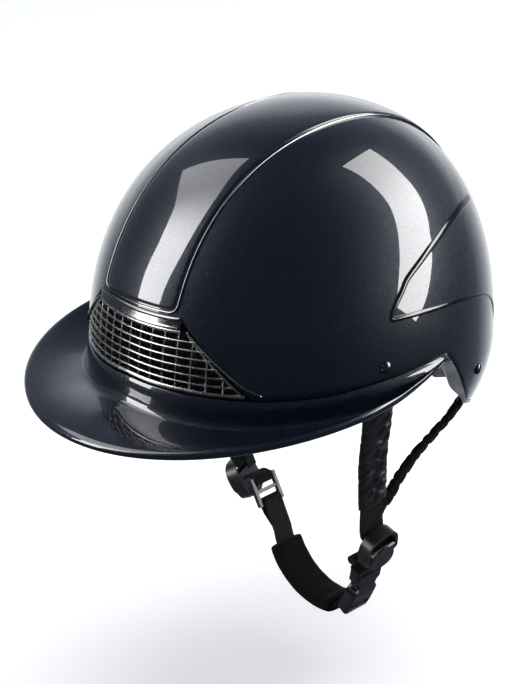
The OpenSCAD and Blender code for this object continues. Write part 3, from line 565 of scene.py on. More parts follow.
def vent_fabric():
    look = Look("VentFabric", (0.004, 0.004, 0.005), 0.75, {"Specular IOR Level": 0.1})
    holes = look.node("TexVoronoi", {"Vector": look.place, "Scale": 700.0, "Randomness": 0.25})
    web = look.ramp(holes.outputs["Distance"], 0.2, 0.45)
    look.tint(web, (0.0008, 0.0008, 0.001), (0.006, 0.0062, 0.007))
    look.bump(web, 0.8, 0.0006)
    return look.material


PAINT = flake_paint()
CHROME = dark_chrome("TrimChrome", (0.36, 0.335, 0.33), 0.08, 0.16)
GRILLE_METAL = dark_chrome("GrilleSatin", (0.3, 0.285, 0.28), 0.2, 0.32)
GUNMETAL = dark_chrome("TrimGunmetal", (0.17, 0.16, 0.165), 0.1, 0.2)
RIVET = dark_chrome("RivetGunmetal", (0.12, 0.12, 0.135), 0.1, 0.2)
GLOSS_BLACK = moulded("InlayGlossBlack", (0.003, 0.0033, 0.0045), 0.08, 0.14, 300, 0.0001, 0.5)
# The rim's grey base colour is a painted reflection: a black rim lightened to stand for the pale floor
# reflected beneath it.
RIM_PAINTED_REFLECTION = moulded("RimGloss", (0.1, 0.104, 0.114), 0.12, 0.2, 800, 0.00005, 0.5)
PLASTIC = moulded("HardwarePlastic", (0.0085, 0.0087, 0.0095), 0.28, 0.44, 1400, 0.00015, 0.4)
LEVER = moulded("LeverPlastic", (0.012, 0.0122, 0.013), 0.2, 0.3, 900, 0.0001, 0.5)
WEB = ribbed_webbing()
WEB_CHIN = plane_webbing()
LEATHER = sleeve_leather()
PAD_FABRIC = brushed_fabric("PadBrushed", (0.0006, 0.0006, 0.0008), (0.0032, 0.0033, 0.004), 320, 0.01)
LINER_FABRIC = brushed_fabric("LinerKnit", (0.004, 0.0043, 0.0055), (0.018, 0.019, 0.023), 420, 0.04)
FOAM = bead_foam()
VENT_MESH = vent_fabric()


# ---- Shell ----

def dome_bearings(step):
    """Bearings all round, at even steps and at the corners of the edge, none closer than a set angle."""
    closest = 0.3
    marks = np.arange(0, 180 + step / 2, step)
    marks = np.concatenate([marks, [VENT_TOP_BEARING, VENT_FOOT_BEARING, NOTCH, *NOTCH_STATIONS]])
    half = np.unique(np.round(marks, 3))
    half = half[np.concatenate([[True], np.diff(half) > closest])]
    return np.concatenate([half, 360 - half[1:-1][::-1]])


def dome_shell(edge, outer, inner, lip, step=1.5, outer_rows=60, inner_rows=20):
    """A wall with a rounded lower edge, as rings from the crown outside down and up to the crown inside."""
    bearings = dome_bearings(step)
    z_edge = edge(bearings)
    lip_steps = [(0.5, 0.14), (0.15, 0.45), (0, 1)]

    def wall_row(share, inset):
        return on_dome(bearings, row_height(z_edge + lip, share, HEIGHT - inset), inset)

    def lip_row(rise, inset):
        return on_dome(bearings, z_edge + lip * rise, inset)

    def lip_depth(reach):
        return min(lip * reach, (inner - outer) / 2)

    rings = [wall_row(share, outer) for share in np.linspace(1, 0, outer_rows + 1)[1:]]
    rings += [lip_row(rise, outer + lip_depth(reach)) for rise, reach in lip_steps]
    rings += [lip_row(rise, inner - lip_depth(reach)) for rise, reach in reversed(lip_steps)]
    rings += [wall_row(share, inner) for share in np.linspace(0, 1, inner_rows + 1)[:-1]]
    count = len(bearings)
    points = np.concatenate(rings + [np.array([[0, 0, HEIGHT - outer], [0, 0, HEIGHT - inner]])])
    faces = grid_faces(len(rings), count, around=True)
    top, under = len(points) - 2, len(points) - 1
    last = (len(rings) - 1) * count
    for c in range(count):
        faces.append((c, top, (c + 1) % count))
        faces.append((last + c, last + (c + 1) % count, under))
    return points, faces


def build_shell():
    shell = dome_shell(shell_edge, 0.0, WALL, 1.0)
    helmet_piece("ShellPainted", shell, PAINT, "painted_shell", "outer_shell")


def edge_round(distance, radius):
    """Share of full height at a distance from a rounded edge."""
    t = np.clip(distance / radius, 0, 1)
    return np.sqrt(np.maximum(1 - (1 - t) ** 2, 0))


def near_edges(low, high, count, radius):
    """Stations from low to high, closer together at both ends."""
    close = radius * np.array([0, 0.06, 0.2, 0.45, 0.75, 1.0])
    middle = np.linspace(low + radius, high - radius, count)[1:-1]
    return np.concatenate([low + close, middle, (high - close)[::-1]])


def panel_half(share):
    """Half of the panel's width at a share of its length, narrower round its corners."""
    to_end = np.minimum(np.minimum(share, 1 - share) * PANEL_LENGTH, PANEL_CORNER)
    return PANEL_HALF - PANEL_CORNER + np.sqrt(PANEL_CORNER ** 2 - (PANEL_CORNER - to_end) ** 2)


def build_panel():
    round_off, rise, base, underside = 1.4, 1.2, 0.25, 0.1
    across = near_edges(-1, 1, 20, round_off / PANEL_HALF)
    shares = near_edges(0, PANEL_LENGTH, 110, PANEL_CORNER) / PANEL_LENGTH
    u, share = np.meshgrid(across, shares)
    half = panel_half(share)
    x = u * half
    turn = mix(strip_turn(x, PANEL_FRONT), 180 - strip_turn(x, PANEL_BACK), share)
    edge = np.minimum(half - np.abs(x), np.minimum(share, 1 - share) * PANEL_LENGTH)
    top = on_strip(x, turn, -base - (rise - base) * edge_round(edge, round_off))
    under = on_strip(x, turn, -underside)
    helmet_piece("PanelPainted", slab(top, under), PAINT, "painted_shell", "centre_panel")


def panel_outline():
    """The bead's path round the panel, a gap away from it."""
    half, corner = PANEL_HALF + PANEL_TRIM_GAP, 5.0
    front_level, back_level = PANEL_FRONT - PANEL_TRIM_GAP, PANEL_BACK - PANEL_TRIM_GAP
    near, middle, far = 0.08 * corner, 0.28 * corner, 0.62 * corner

    def end(level, turn_of):
        """Points along one end and round its corner."""
        marks = [(x, level) for x in np.linspace(0, half - corner, 12)]
        marks += [(half - a, level + b) for a, b in ((far, near), (middle, middle), (near, far))]
        return [on_strip(x, turn_of(strip_turn(x, z)), 0) for x, z in marks]

    front = end(front_level, lambda t: t)
    back = end(back_level, lambda t: 180 - t)
    start, stop = strip_turn(half, front_level + corner), 180 - strip_turn(half, back_level + corner)
    one_side = np.array(front + [on_strip(half, t, 0) for t in np.linspace(start, stop, 90)] + back[::-1])
    return np.concatenate([one_side, mirrored(one_side[1:-1][::-1])])


def build_panel_trim():
    width, height, lift = 1.4, 1.2, 0.05
    path = resampled(panel_outline(), 420, loop=True)
    bead = tube(ridge_rings(path, width, height, lift, loop=True), loop=True)
    helmet_piece("PanelTrimBead", bead, GUNMETAL, "chrome_trim", "panel_trim")


def build_header_bar():
    """A bar with a high lip along its top and a lower one along its foot."""
    base, rise, lip_rise, foot_rise = 0.25, 0.75, 0.75, 0.4
    end_round, side_round = 0.7, 0.12
    b, v = np.meshgrid(near_edges(-HEADER_HALF, HEADER_HALF, 30, end_round), np.linspace(0, 1, 33))
    z = mix(HEADER_LOW, HEADER_HIGH, v)
    lip = bulge(v, 0.86, 0.09)
    foot = bulge(v, 0.1, 0.1)
    swell = edge_round(np.minimum(v, 1 - v), side_round) * edge_round(HEADER_HALF - np.abs(b), end_round)
    top = on_dome(b, z, -base - swell * (rise + lip_rise * lip + foot_rise * foot))
    helmet_piece("HeaderBarMetal", slab(top, on_dome(b, z, 0.0)), GUNMETAL, "gunmetal_trim", "header_bar")


# ---- Grille ----

def vent_side(z):
    """The bearing of the vent's sloping side at a height, just inside its edge."""
    share = (z - VENT_FOOT) / (VENT_TOP - VENT_FOOT)
    return mix(VENT_FOOT_BEARING, VENT_TOP_BEARING, share) - VENT_CLEARANCE


def bearing_at(x, z):
    """The bearing at which the dome is a distance from its middle plane."""
    return np.degrees(np.arcsin(np.clip(x / (HALF_WIDTH * outline_share(z, HEIGHT)), -1, 1)))


def row_z(b, share):
    """The height of a row of the grille, from its foot at the seam to its top."""
    return mix(seam(b) + GRILLE_FOOT_GAP, GRILLE_TOP, share)


def bar_rings(path, width, front_inset, back_inset):
    """Rings of a bar with a round front, between two insets of the dome."""
    path = np.asarray(path, float)
    up = outward(path)
    side = unit(np.cross(up, np.gradient(path, axis=0)))
    half = width / 2
    face = [(half * math.cos(a), half * (math.sin(a) - 1) - front_inset) for a in np.linspace(0, math.pi, 9)]
    face += [(-half, -back_inset), (half, -back_inset)]
    return np.array([[p + s * a + u * d for a, d in face] for p, u, s in zip(path, up, side)])


def grille_bar(b, z, width, front_inset):
    return tube(bar_rings(on_dome(b, z, 0), width, front_inset, GRILLE_BACK))


def lattice_bars():
    """Bars across, and upright bars that end at the top or at the sloping sides."""
    bars = []
    into_side, row_inset, column_inset, shortest = 0.6, 0.3, 0.7, 3
    for row in range(1, GRILLE_ROWS + 1):
        share = row / (GRILLE_ROWS + 1)
        reach = vent_side(row_z(30, share)) + into_side
        b = np.linspace(-reach, reach, 41)
        bars.append(grille_bar(b, row_z(b, share), GRILLE_BAR, row_inset))
    for column in range(GRILLE_COLUMNS):
        x = (column - (GRILLE_COLUMNS - 1) / 2) * GRILLE_PITCH
        low = seam(bearing_at(x, 20)) + GRILLE_FOOT_GAP
        slope = (bearing_at(abs(x), 35) - VENT_TOP_BEARING + VENT_CLEARANCE) / VENT_SPREAD
        high = min(GRILLE_TOP, mix(VENT_TOP, VENT_FOOT, slope))
        if high >= low + shortest:
            z = np.linspace(low, high, 16)
            bars.append(grille_bar(bearing_at(x, z), z, GRILLE_BAR, column_inset))
    return bars


def frame_bars():
    """The frame round the lattice: its foot, its top and its two sloping sides."""
    foot_width, top_width, side_width = 2.8, 2.6, 1.6
    front_inset, side_inset = 0.15, 0.5
    reach = vent_side(VENT_FOOT) - 0.5
    b = np.linspace(-reach, reach, 50)
    bars = [grille_bar(b, seam(b) + 1.8, foot_width, front_inset)]
    b = np.linspace(-HEADER_HALF, HEADER_HALF, 30)
    bars.append(grille_bar(b, GRILLE_TOP + 0.2, top_width, front_inset))
    z = np.linspace(GRILLE_TOP, VENT_FOOT + 2, 24)
    return bars + [grille_bar(way * vent_side(z), z, side_width, side_inset) for _, way in SIDES]


def build_grille():
    bars = gather(lattice_bars() + frame_bars())
    helmet_piece("GrilleLouvres", bars, GRILLE_METAL, "gunmetal_trim", "front_grille", sharp=50)


def build_vent_mesh():
    reach, foot, top, front, back = 42, 13, 65, 5.2, 5.9
    b, v = np.meshgrid(np.linspace(-reach, reach, 60), np.linspace(0, 1, 20))
    z = mix(foot, top, v)
    sheet = slab(on_dome(b, z, front), on_dome(b, z, back))
    helmet_piece("VentMeshFabric", sheet, VENT_MESH, "vent_fabric", "vent_mesh", sharp=40)


def build_opening_trim():
    """A bright line down each side of the opening, thin at its top, turned outwards at its foot."""
    width, height, gap, turn_out, below_top, above_foot = 1.25, 0.8, 0.75, 1.7, 3.5, 2.4
    share = np.linspace(0.02, 1, 60)
    b = mix(VENT_TOP_BEARING, VENT_FOOT_BEARING, share) + gap + turn_out * soft(share * 6 - 5)
    z = mix(VENT_TOP - below_top, VENT_FOOT + above_foot, share)
    taper = np.minimum(1, 0.25 + 3 * share)
    lines = [tube(ridge_rings(on_dome(way * b, z, 0), width, height, 0.0, taper=taper)) for _, way in SIDES]
    helmet_piece("OpeningTrimLine", gather(lines), CHROME, "chrome_trim", "opening_trim")


def build_side_trims():
    """The V-shaped inlay of each side, from its broad upper end to its thin lower one."""
    width, height = 3.2, 0.8
    upper = [(137, 87.2), (127.4, 89.8), (119.4, 90.9), (107.7, 89.1), (99, 85.2), (92, 80.3), (84.8, 72.8),
             (81.8, 66.4), (79.3, 60.4)]
    lower = [(77.6, 54.2), (77.9, 52.4), (80, 52), (88.2, 50.4), (93.9, 48.8), (100.6, 46.8), (107.3, 43.8),
             (113.7, 40.1), (119.4, 36), (124.7, 29.4), (127.5, 24), (129.2, 19), (130.2, 10)]
    path = resampled(on_dome(*curve(upper + lower, 12).T, 0), 260)
    share = np.linspace(0, 1, len(path))
    ends = np.clip(np.minimum(share, 1 - share) * 25 + 0.2, 0, 1)
    taper = mix(1.6, 0.6, share) * ends
    for name, way in SIDES:
        inlay = tube(ridge_rings(path * np.array([way, 1, 1]), width, height, 0.0, taper=taper))
        helmet_piece("SideInlay_" + name, inlay, GLOSS_BLACK, "inlay_trim", "side_trim_" + name)


def build_rear_vent():
    """A raised frame with bars across it."""
    low, high, reach, bars = 20, 40, 13, 3
    corners = [(180 - reach, high), (180 + reach, high), (180 + reach, low), (180 - reach, low)]
    marks = []
    for (b0, z0), (b1, z1) in zip(corners, corners[1:] + corners[:1]):
        marks += [(mix(b0, b1, t), mix(z0, z1, t)) for t in np.linspace(0.06, 0.94, 16)]
    parts = [tube(ridge_rings(on_dome(*np.array(marks).T, 0), 2.4, 1.3, 0.0, loop=True), loop=True)]
    b = np.linspace(180 - reach, 180 + reach, 24)
    for row in range(1, bars + 1):
        z = mix(low, high, row / (bars + 1))
        parts.append(tube(ridge_rings(on_dome(b, z, 0), 2.0, 1.2, 0.0)))
    helmet_piece("RearVentLouvres", gather(parts), GUNMETAL, "gunmetal_trim", "rear_vent")


# ---- Brim and rim ----

def brim_edge(s):
    """The brim's free edge, from one root (-1) round the front (0) to the other (1)."""
    front_z, side_rise, root_rise = -2.5, 8.4, 8.2
    root = on_dome(BRIM_BEARING, 17, -2)
    angle = np.radians(abs(s) * BRIM_SWEEP)
    free = np.array([BRIM_HALF_WIDTH * np.sin(angle), BRIM_CENTRE - BRIM_REACH * np.cos(angle),
                     front_z + side_rise * np.sin(angle) ** 2 + root_rise * np.sin(angle / 2) ** 4])
    edge = mix(free, root, soft((np.degrees(angle) - 96) / 16))
    return mirrored(edge) if s < 0 else edge


def brim_section(s):
    """Upper points from the seam out to the edge, then under points back to the seam."""
    b = s * BRIM_BEARING
    a = abs(b)
    seam_z = float(seam(a)) - 0.45
    fold_z = float(read_line(JUNCTION_LINE, a))
    taper = soft((a - 72) / 20)
    foot_z = fold_z - (6 - 4.6 * taper)
    edge = brim_edge(s)
    fold = on_dome(b, fold_z, -BAND_SWELL)
    under = on_dome(b, foot_z, 0.5)
    inward = unit(fold - edge)
    half = np.array([0, 0, (BRIM_THICKNESS - 2.2 * soft((a - 72) / 22)) / 2])
    crown = np.array([0, 0, 1.6 * (1 - taper)])
    upper = [on_dome(b, seam_z - 0.1, 0.8), on_dome(b, seam_z, 0.25), on_dome(b, seam_z - 0.5, 0),
             on_dome(b, mix(seam_z, fold_z, 0.2), -0.9), on_dome(b, mix(seam_z, fold_z, 0.6), -1.3), fold,
             mix(fold, edge, 0.14) + crown * 0.2, mix(fold, edge, 0.5) + crown * 1.6,
             mix(fold, edge, 0.85) + crown * 0.8 + half, edge + inward + half, edge + half * 0.5]
    lower = [on_dome(b, seam_z, WALL), on_dome(b, mix(seam_z, fold_z, 0.2), WALL),
             on_dome(b, mix(seam_z, foot_z, 0.5), WALL), on_dome(b, foot_z + 0.3, WALL - 0.3),
             mix(under, edge, 0.08) - half * 0.5, mix(under, edge, 0.5) - half * 0.9 + crown,
             mix(under, edge, 0.85) - half + crown * 0.5, edge + inward - half, edge - half * 0.5]
    return np.array(upper + lower[::-1])


def build_brim():
    rings = np.array([brim_section(s) for s in np.linspace(-1, 1, 97)])
    brim = helmet_piece("BrimPainted", tube(rings), PAINT, "painted_shell", "brim")
    add_subdivision(brim, 2)


def rim_reach(b):
    """How far the rim reaches inwards: wide, and narrow where the rear straps come out."""
    half_gap, fade = 14, 4
    off_exit = np.abs(fold_bearing(b) - REAR_EXIT_BEARING)
    return mix(RIM_REACH, RIM_NARROW, soft((half_gap - off_exit) / fade))


def build_rim():
    """A rounded strip under the nape's edge, from one notch round the back to the other."""
    start, gap = 97.4, 0.3
    bearings = np.linspace(start, 360 - start, 180)
    outer = on_dome(bearings, nape(bearings), 0.2)
    inner = on_dome(bearings, nape(bearings), rim_reach(bearings))
    along = unit(np.gradient(outer, axis=0))
    inward = unit(on_dome(bearings, nape(bearings), RIM_REACH) - outer)
    away = -unit(np.cross(along, inward))
    away = away * np.sign(np.sum(away * np.array([0, 0, -1]), axis=1, keepdims=True) + 1e-9)
    rings = []
    for o, i, w, n in zip(outer, inner, away, inward):
        middle = mix(o, i, 0.5)
        above = [o + w * gap, middle + w * gap, i + w * gap, i + w * 1.6]
        below = [i + w * RIM_DEPTH - n * 0.9, middle + w * RIM_DEPTH, o + w * RIM_DEPTH + n * 1.2,
                 o + w * 1.7 + n * 0.1]
        rings.append(above + below)
    # The rim's grey colour is a painted reflection of the pale floor below, not its own black.
    rim = helmet_piece("RimRubber", tube(rings), RIM_PAINTED_REFLECTION, "inlay_trim", "rim_trim")
    add_subdivision(rim, 1)


# ---- Inside ----

def foam_edge(b):
    return read_line(FOAM_LINE, fold_bearing(b), 1.0)


def build_foam():
    foam = dome_shell(foam_edge, FOAM_OUTSIDE, CAVITY, 3.0, step=3, outer_rows=16, inner_rows=40)
    helmet_piece("FoamLiner", foam, FOAM, "foam", "foam_liner")


def cushion(name, node, point, u_range, v_range, size, channels, flip=False):
    """A comfort pad that swells from its edges, with sewn channels across it and a seam round it."""
    step, edge, fall = 1.6, 4.0, 5.0
    us, vs = (near_edges(0, length, int(length / step), edge) / length for length in size)
    u, v = np.meshgrid(us, vs)
    margin = np.minimum(np.minimum(u, 1 - u) * size[0], np.minimum(v, 1 - v) * size[1])
    swell = 0.35 + 0.65 * edge_round(margin, fall)
    sewn = np.zeros_like(u)
    for k in range(1, channels):
        sewn = np.maximum(sewn, bulge((u - k / channels) * size[0], 0, 1.3))
    depth = PAD_THICKNESS * (swell * (1 - 0.42 * sewn) - 0.12 * bulge(margin, 3.2, 0.7))
    across, up = mix(u_range[0], u_range[1], u), v_range(u, v)
    outer = point(across, up, PAD_OUTER)
    inner = point(across, up, PAD_OUTER + depth)
    if flip:
        outer, inner = mirrored(outer), mirrored(inner)
    pad = helmet_piece(name, slab(inner, outer), LINER_FABRIC, "comfort_fabric", node, sharp=70)


def build_pads():
    rear = (134, 226)

    def rear_heights(u, v):
        return mix(nape(mix(*rear, u)) + 17, 6, v)

    def side_heights(u, v):
        return mix(29 - 6 * np.cos(np.radians(180 * u)), 58, v)

    cushion("HeadbandFront", "headband_front", on_dome, (-54, 54), lambda u, v: mix(4, 38, v), (170, 34), 7)
    cushion("HeadbandRear", "headband_rear", on_dome, rear, rear_heights, (136, 32), 6)
    for name, way in SIDES:
        cushion("SidePad_" + name, "side_pad_" + name, on_dome, (60, 120), side_heights, (88, 32), 3, way < 0)
    cushion("CrownPad", "crown_pad", on_strip, (-30, 30), lambda u, v: mix(62, 118, v), (60, 110), 3)


# ---- Rivets ----

def build_rivets():
    """A domed head on a shank, at two places on each side."""
    shank, shank_depth, head, dome, foot, rise = 1.9, 6, 3.6, 3.45, 0.75, 1.25
    profile = [(0, -shank_depth), (shank, -shank_depth), (shank, 0.1)]
    profile += [(head - 0.3, 0.12), (head, 0.3), (head - 0.02, 0.55)]
    profile += [(dome * math.cos(a), foot + rise * math.sin(a)) for a in np.linspace(0.1, math.pi / 2, 9)]
    turns = np.linspace(0, 2 * np.pi, 40, endpoint=False)
    for name, place in (("front", FRONT_RIVET), ("rear", REAR_RIVET)):
        parts = []
        for _, way in SIDES:
            centre = on_dome(*place, 0) * np.array([way, 1, 1])
            up = outward(centre)
            side = unit(np.cross(up, [0, 0, 1]))
            other = np.cross(up, side)
            parts.append(tube([[centre + up * h + (side * np.cos(t) + other * np.sin(t)) * max(r, 0.02)
                                for t in turns] for r, h in profile]))
        helmet_piece("Rivets_" + name, gather(parts), RIVET, "gunmetal_trim", name + "_rivets", sharp=45)


# ---- Straps ----

def turn_by(v, degrees):
    """A direction turned about x, then y, then z."""
    rx, ry, rz = np.radians(degrees)
    x, y, z = v
    y, z = y * math.cos(rx) - z * math.sin(rx), y * math.sin(rx) + z * math.cos(rx)
    x, z = x * math.cos(ry) + z * math.sin(ry), z * math.cos(ry) - x * math.sin(ry)
    return np.array([x * math.cos(rz) - y * math.sin(rz), x * math.sin(rz) + y * math.cos(rz), z])


# Where each divider hangs and how it is turned; BASE and the slot are the divider's own
LEFT_HANG = (np.array([68.0, -4.5, -122.8]), (8, 16, 0))
RIGHT_HANG = (np.array([53.0, 3, -121]), (0, 30, -25))
BASE = 2.6
SLOT_Z = 8
SLOT_DEPTH = WEBBING / 2 + 0.4
RIM_ACROSS = (0.2, 0.98, 0)
REAR_ACROSS = (-0.35, 0.93, 0)


def hung_point(hang, local):
    return hang[0] + turn_by(local, hang[1])


def front_path(hang):
    """The front strap's middle line, from above its rivet, out of the shell and through the divider."""
    def at(*local):
        return hung_point(hang, local)
    bearing, height = FRONT_RIVET
    exit_point = np.array([97.6, -31, -9])
    top = at(-SLOT_DEPTH - 1, -2.5, 20)
    fall = top - exit_point
    inside = [on_dome(bearing, height + 9, STRAP_INSET), on_dome(*FRONT_RIVET, STRAP_INSET),
              on_dome(bearing, 8, STRAP_INSET + 0.6), (101, -33, -3)]
    hanging = [exit_point + fall * 0.15, exit_point + fall * 0.45 + (-1, -0.5, 0),
               exit_point + fall * 0.78 + (-1.5, 1.5, 0), top]
    threaded = [at(-SLOT_DEPTH - 0.5, -0.4, SLOT_Z + 2.5), at(BASE / 2, 0, SLOT_Z),
                at(BASE + SLOT_DEPTH, 0, SLOT_Z - 2.6), at(BASE + SLOT_DEPTH, 0, 0)]
    return inside + hanging + threaded


def rear_path(hang):
    """The rear strap's middle line, from above its rivet down to the back of the divider."""
    def at(*local):
        return hung_point(hang, local)
    bearing, height = REAR_RIVET
    exit_point = np.array([85.6, 55.6, -38])
    top = at(-SLOT_DEPTH - 3.8, 6, 18)
    fall = top - exit_point
    inside = [on_dome(bearing, height + 8, STRAP_INSET), on_dome(*REAR_RIVET, STRAP_INSET),
              on_dome(bearing + 1, -22, STRAP_INSET + 1.4), (88.4, 54.6, -34)]
    hanging = [exit_point + fall * 0.12 + (0, 0, -1), exit_point + fall * 0.45 + (0, -8, 0),
               exit_point + fall * 0.78 + (0, -5, 0), top]
    return inside + hanging + [at(-SLOT_DEPTH - 3.2, 4, 11), at(-SLOT_DEPTH - 2.6, 3, 4)]


def strap_frames(path, ends):
    """Directions across a strap and out of its face, turning between those given for its two ends."""
    along = np.gradient(path, axis=0)
    share = soft(np.linspace(0, 1, len(path)))[:, None]
    rough = mix(np.asarray(ends[0], float), np.asarray(ends[1], float), share)
    face = unit(np.cross(rough, along))
    return unit(np.cross(along, face)), face


def strap_mesh(path, across, face, width, depth):
    """A flat strap with rounded selvedges, and its map in millimetres across and along."""
    def flat(v, power):
        return math.copysign(abs(v) ** power, v)
    sides = 14
    angles = [2 * math.pi * (k + 0.5) / sides for k in range(sides)]
    ring = [(flat(math.cos(angle), 0.35), flat(math.sin(angle), 0.6)) for angle in angles]
    rings, uv = [], []
    for p, a, f, s in zip(path, across, face, run_along(path)):
        rings.append([p + a * (width / 2 * u) + f * (depth / 2 * v) for u, v in ring])
        uv += [(u * width / 2, s) for u, v in ring]
    return tube(rings), uv


def build_strap(name, node, points, width, ends, flip):
    path = curve(points, 14)
    across, face = strap_frames(path, ends)
    if flip:
        path, across, face = mirrored(path), mirrored(across), mirrored(face)
    shape, uv = strap_mesh(path, across, face, width, WEBBING)
    helmet_piece(name, shape, WEB, "webbing", node, uv=uv, sharp=60)


def sleeve_outline():
    """Points round a flat sleeve, as shares of its half width and half depth, evenly across it."""
    count = 25
    across = np.concatenate([np.linspace(1, -1, count), np.linspace(-1, 1, count)[1:-1]])
    side = np.concatenate([np.ones(count), -np.ones(count - 2)])
    return [(u, way * (1 - abs(u) ** 5) ** 0.6) for u, way in zip(across, side)]


def wander(*place):
    """Smooth noise at a place."""
    return noise.noise(Vector(place))


def build_sleeve(name, node, points, span, ends, size, flip, seed, folds, loose, cloth):
    """A soft sleeve over a span of a strap's points, gathered into slanting wrinkles."""
    count, thinnest = 40, 0.95
    width, depth = size
    path = curve(points, count)
    across, face = strap_frames(path, ends)
    chosen = slice(round(span[0] * count), round(span[1] * count) + 1)
    path, across, face = path[chosen], across[chosen], face[chosen]
    run = run_along(path)
    rings = []
    for p, a, f, s in zip(path, across, face, run):
        sway = loose * wander(s / 8, seed * 3, 0.5)
        to_end = min(s / run[-1], 1 - s / run[-1]) * run[-1]
        pinch = 0.9 + 0.1 * edge_round(to_end, 2.5)
        ring = []
        for u, v in sleeve_outline():
            drift = wander(s / 9, u * 1.4, seed)
            crease = 0.5 + 0.5 * math.sin(s * 0.72 + u * width * 0.2 + 3.6 * drift)
            crease = crease ** 3.2 * soft(0.85 + wander(s / 8, u * 1.6, seed + 9))
            ripple = wander(s / 3, u * 2.5 + v, seed + 5)
            wide = width / 2 * u * (pinch + 0.04 * wander(s / 8, seed, u))
            deep = v * max(depth / 2 * pinch + folds * (0.5 - crease + 0.2 * ripple), thinnest)
            ring.append(p + a * (wide + sway) + f * deep)
        rings.append(ring)
    rings = mirrored(rings) if flip else rings
    helmet_piece(name, tube(rings), cloth, "sleeve_leather", node, sharp=80)


def build_harness_straps():
    for name, hang, flip, seed in (("left", LEFT_HANG, False, 3.1), ("right", RIGHT_HANG, True, 8.4)):
        front, rear = front_path(hang), rear_path(hang)
        end = turn_by((0, 1, 0), hang[1])
        front_ends, rear_ends = (RIM_ACROSS, end), (REAR_ACROSS, end)
        build_strap("FrontStrap_" + name, "front_strap_" + name, front, WEBBING_WIDTH, front_ends, flip)
        build_strap("RearStrap_" + name, "rear_strap_" + name, rear, REAR_WIDTH, rear_ends, flip)
        build_sleeve("FrontSleeve_" + name, "front_sleeve_" + name, front, (3.25, 6.25), front_ends,
                     SLEEVE_SIZE, flip, seed, 1.9, 0.3, LEATHER)
        build_sleeve("RearSleeve_" + name, "rear_sleeve_" + name, rear, (3.1, 6.4), rear_ends,
                     REAR_SLEEVE_SIZE, flip, seed + 2, 1.1, 1.6, PAD_FABRIC)


# ---- Hardware and chin harness, from the CAD's own solids ----

def worked_copy(node, name, material, bevel, body, angle=30):
    """A copy of a CAD solid whose edges are broken as a mould breaks them."""
    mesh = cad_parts[node].data.copy()
    mesh.materials.clear()
    mesh.materials.append(material)
    mesh.polygons.foreach_set("material_index", [0] * len(mesh.polygons))
    clean = bmesh.new()
    clean.from_mesh(mesh)
    bmesh.ops.remove_doubles(clean, verts=clean.verts, dist=0.00002)
    bmesh.ops.dissolve_limit(clean, angle_limit=math.radians(1.5), verts=clean.verts, edges=clean.edges)
    clean.to_mesh(mesh)
    clean.free()
    mesh.polygons.foreach_set("use_smooth", [True] * len(mesh.polygons))
    mesh.set_sharp_from_angle(angle=math.radians(angle))
    piece = placed(name, mesh)
    add_bevel(piece, bevel, angle)
    finish_piece(piece, body, node)


def build_hardware():
    for side, _ in SIDES:
        worked_copy("divider_" + side, "Divider_" + side, PLASTIC, 0.45, "helmet")
        worked_copy("cam_lever_" + side, "CamLever_" + side, LEVER, 0.5, side + "_lever")
    worked_copy("buckle_female", "BuckleSocket", PLASTIC, 0.4, "helmet")
    worked_copy("buckle_plug", "BucklePlug", PLASTIC, 0.4, "chin_strap")
    worked_copy("prong_front", "ProngFront", LEVER, 0.5, "front_prong")
    worked_copy("prong_rear", "ProngRear", LEVER, 0.5, "rear_prong")
    worked_copy("ladder_lock", "LadderLock", PLASTIC, 0.35, "helmet")
    worked_copy("chin_webbing", "ChinWebbing", WEB_CHIN, 0.3, "chin_strap", 50)
    worked_copy("buckle_strap", "BuckleStrap", WEB_CHIN, 0.3, "helmet", 50)
    worked_copy("lock_strap", "LockStrap", WEB_CHIN, 0.3, "helmet", 50)


def build_chin_pad():
    """A stuffed sleeve on an arc, with a seam round it and creases on its inner side."""
    around, stations = 64, 120
    rings = []
    for i in range(stations):
        share = i / (stations - 1)
        angle = math.radians(mix(*PAD_SPAN, share))
        out = np.array([math.cos(angle), 0, -math.sin(angle)])
        centre = PAD_ARC_CENTRE + PAD_ARC * out
        end = edge_round(min(share, 1 - share) * PAD_LENGTH, 3.0)
        ring = []
        for k in range(around):
            turn = 2 * math.pi * k / around
            u = math.copysign(abs(math.cos(turn)) ** 0.75, math.cos(turn))
            v = math.copysign(abs(math.sin(turn)) ** 0.6, math.sin(turn))
            inner = max(-u, 0)
            crease = math.sin(share * 34 + 2.2 * wander(share * 5, v, 1.3)) * inner ** 0.5
            lump = wander(share * 7, u * 1.2, v * 1.6)
            seam_dip = bulge(abs(v), 0.93, 0.05)
            depth = PAD_DEPTH / 2 * (u * (0.7 + 0.3 * end)) + 0.28 * crease * -inner + 0.25 * lump * abs(u)
            width = PAD_WIDTH / 2 * v * (0.93 + 0.07 * end) * (1 - 0.025 * seam_dip) + 0.3 * lump * abs(v)
            ring.append(centre + out * depth + np.array([0, width, 0]))
        rings.append(ring)
    pad = piece_from("ChinPadFabric", *tube(rings), PAD_FABRIC, sharp=75)
    finish_piece(pad, "pad", "chin_pad")


def finish_cad_nodes():
    """The washers stay as the CAD's own solids, with the rivets' material."""
    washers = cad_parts["rivet_washers"]
    washers.data.materials.clear()
    washers.data.materials.append(RIVET)


build_shell()
build_panel()
build_panel_trim()
build_header_bar()
build_grille()
build_vent_mesh()
build_opening_trim()
build_side_trims()
build_rear_vent()
build_brim()
build_rim()
build_foam()
build_pads()
build_rivets()
build_harness_straps()
build_hardware()
build_chin_pad()
finish_cad_nodes()


# ---- Studio: pale floor, soft light, camera ----

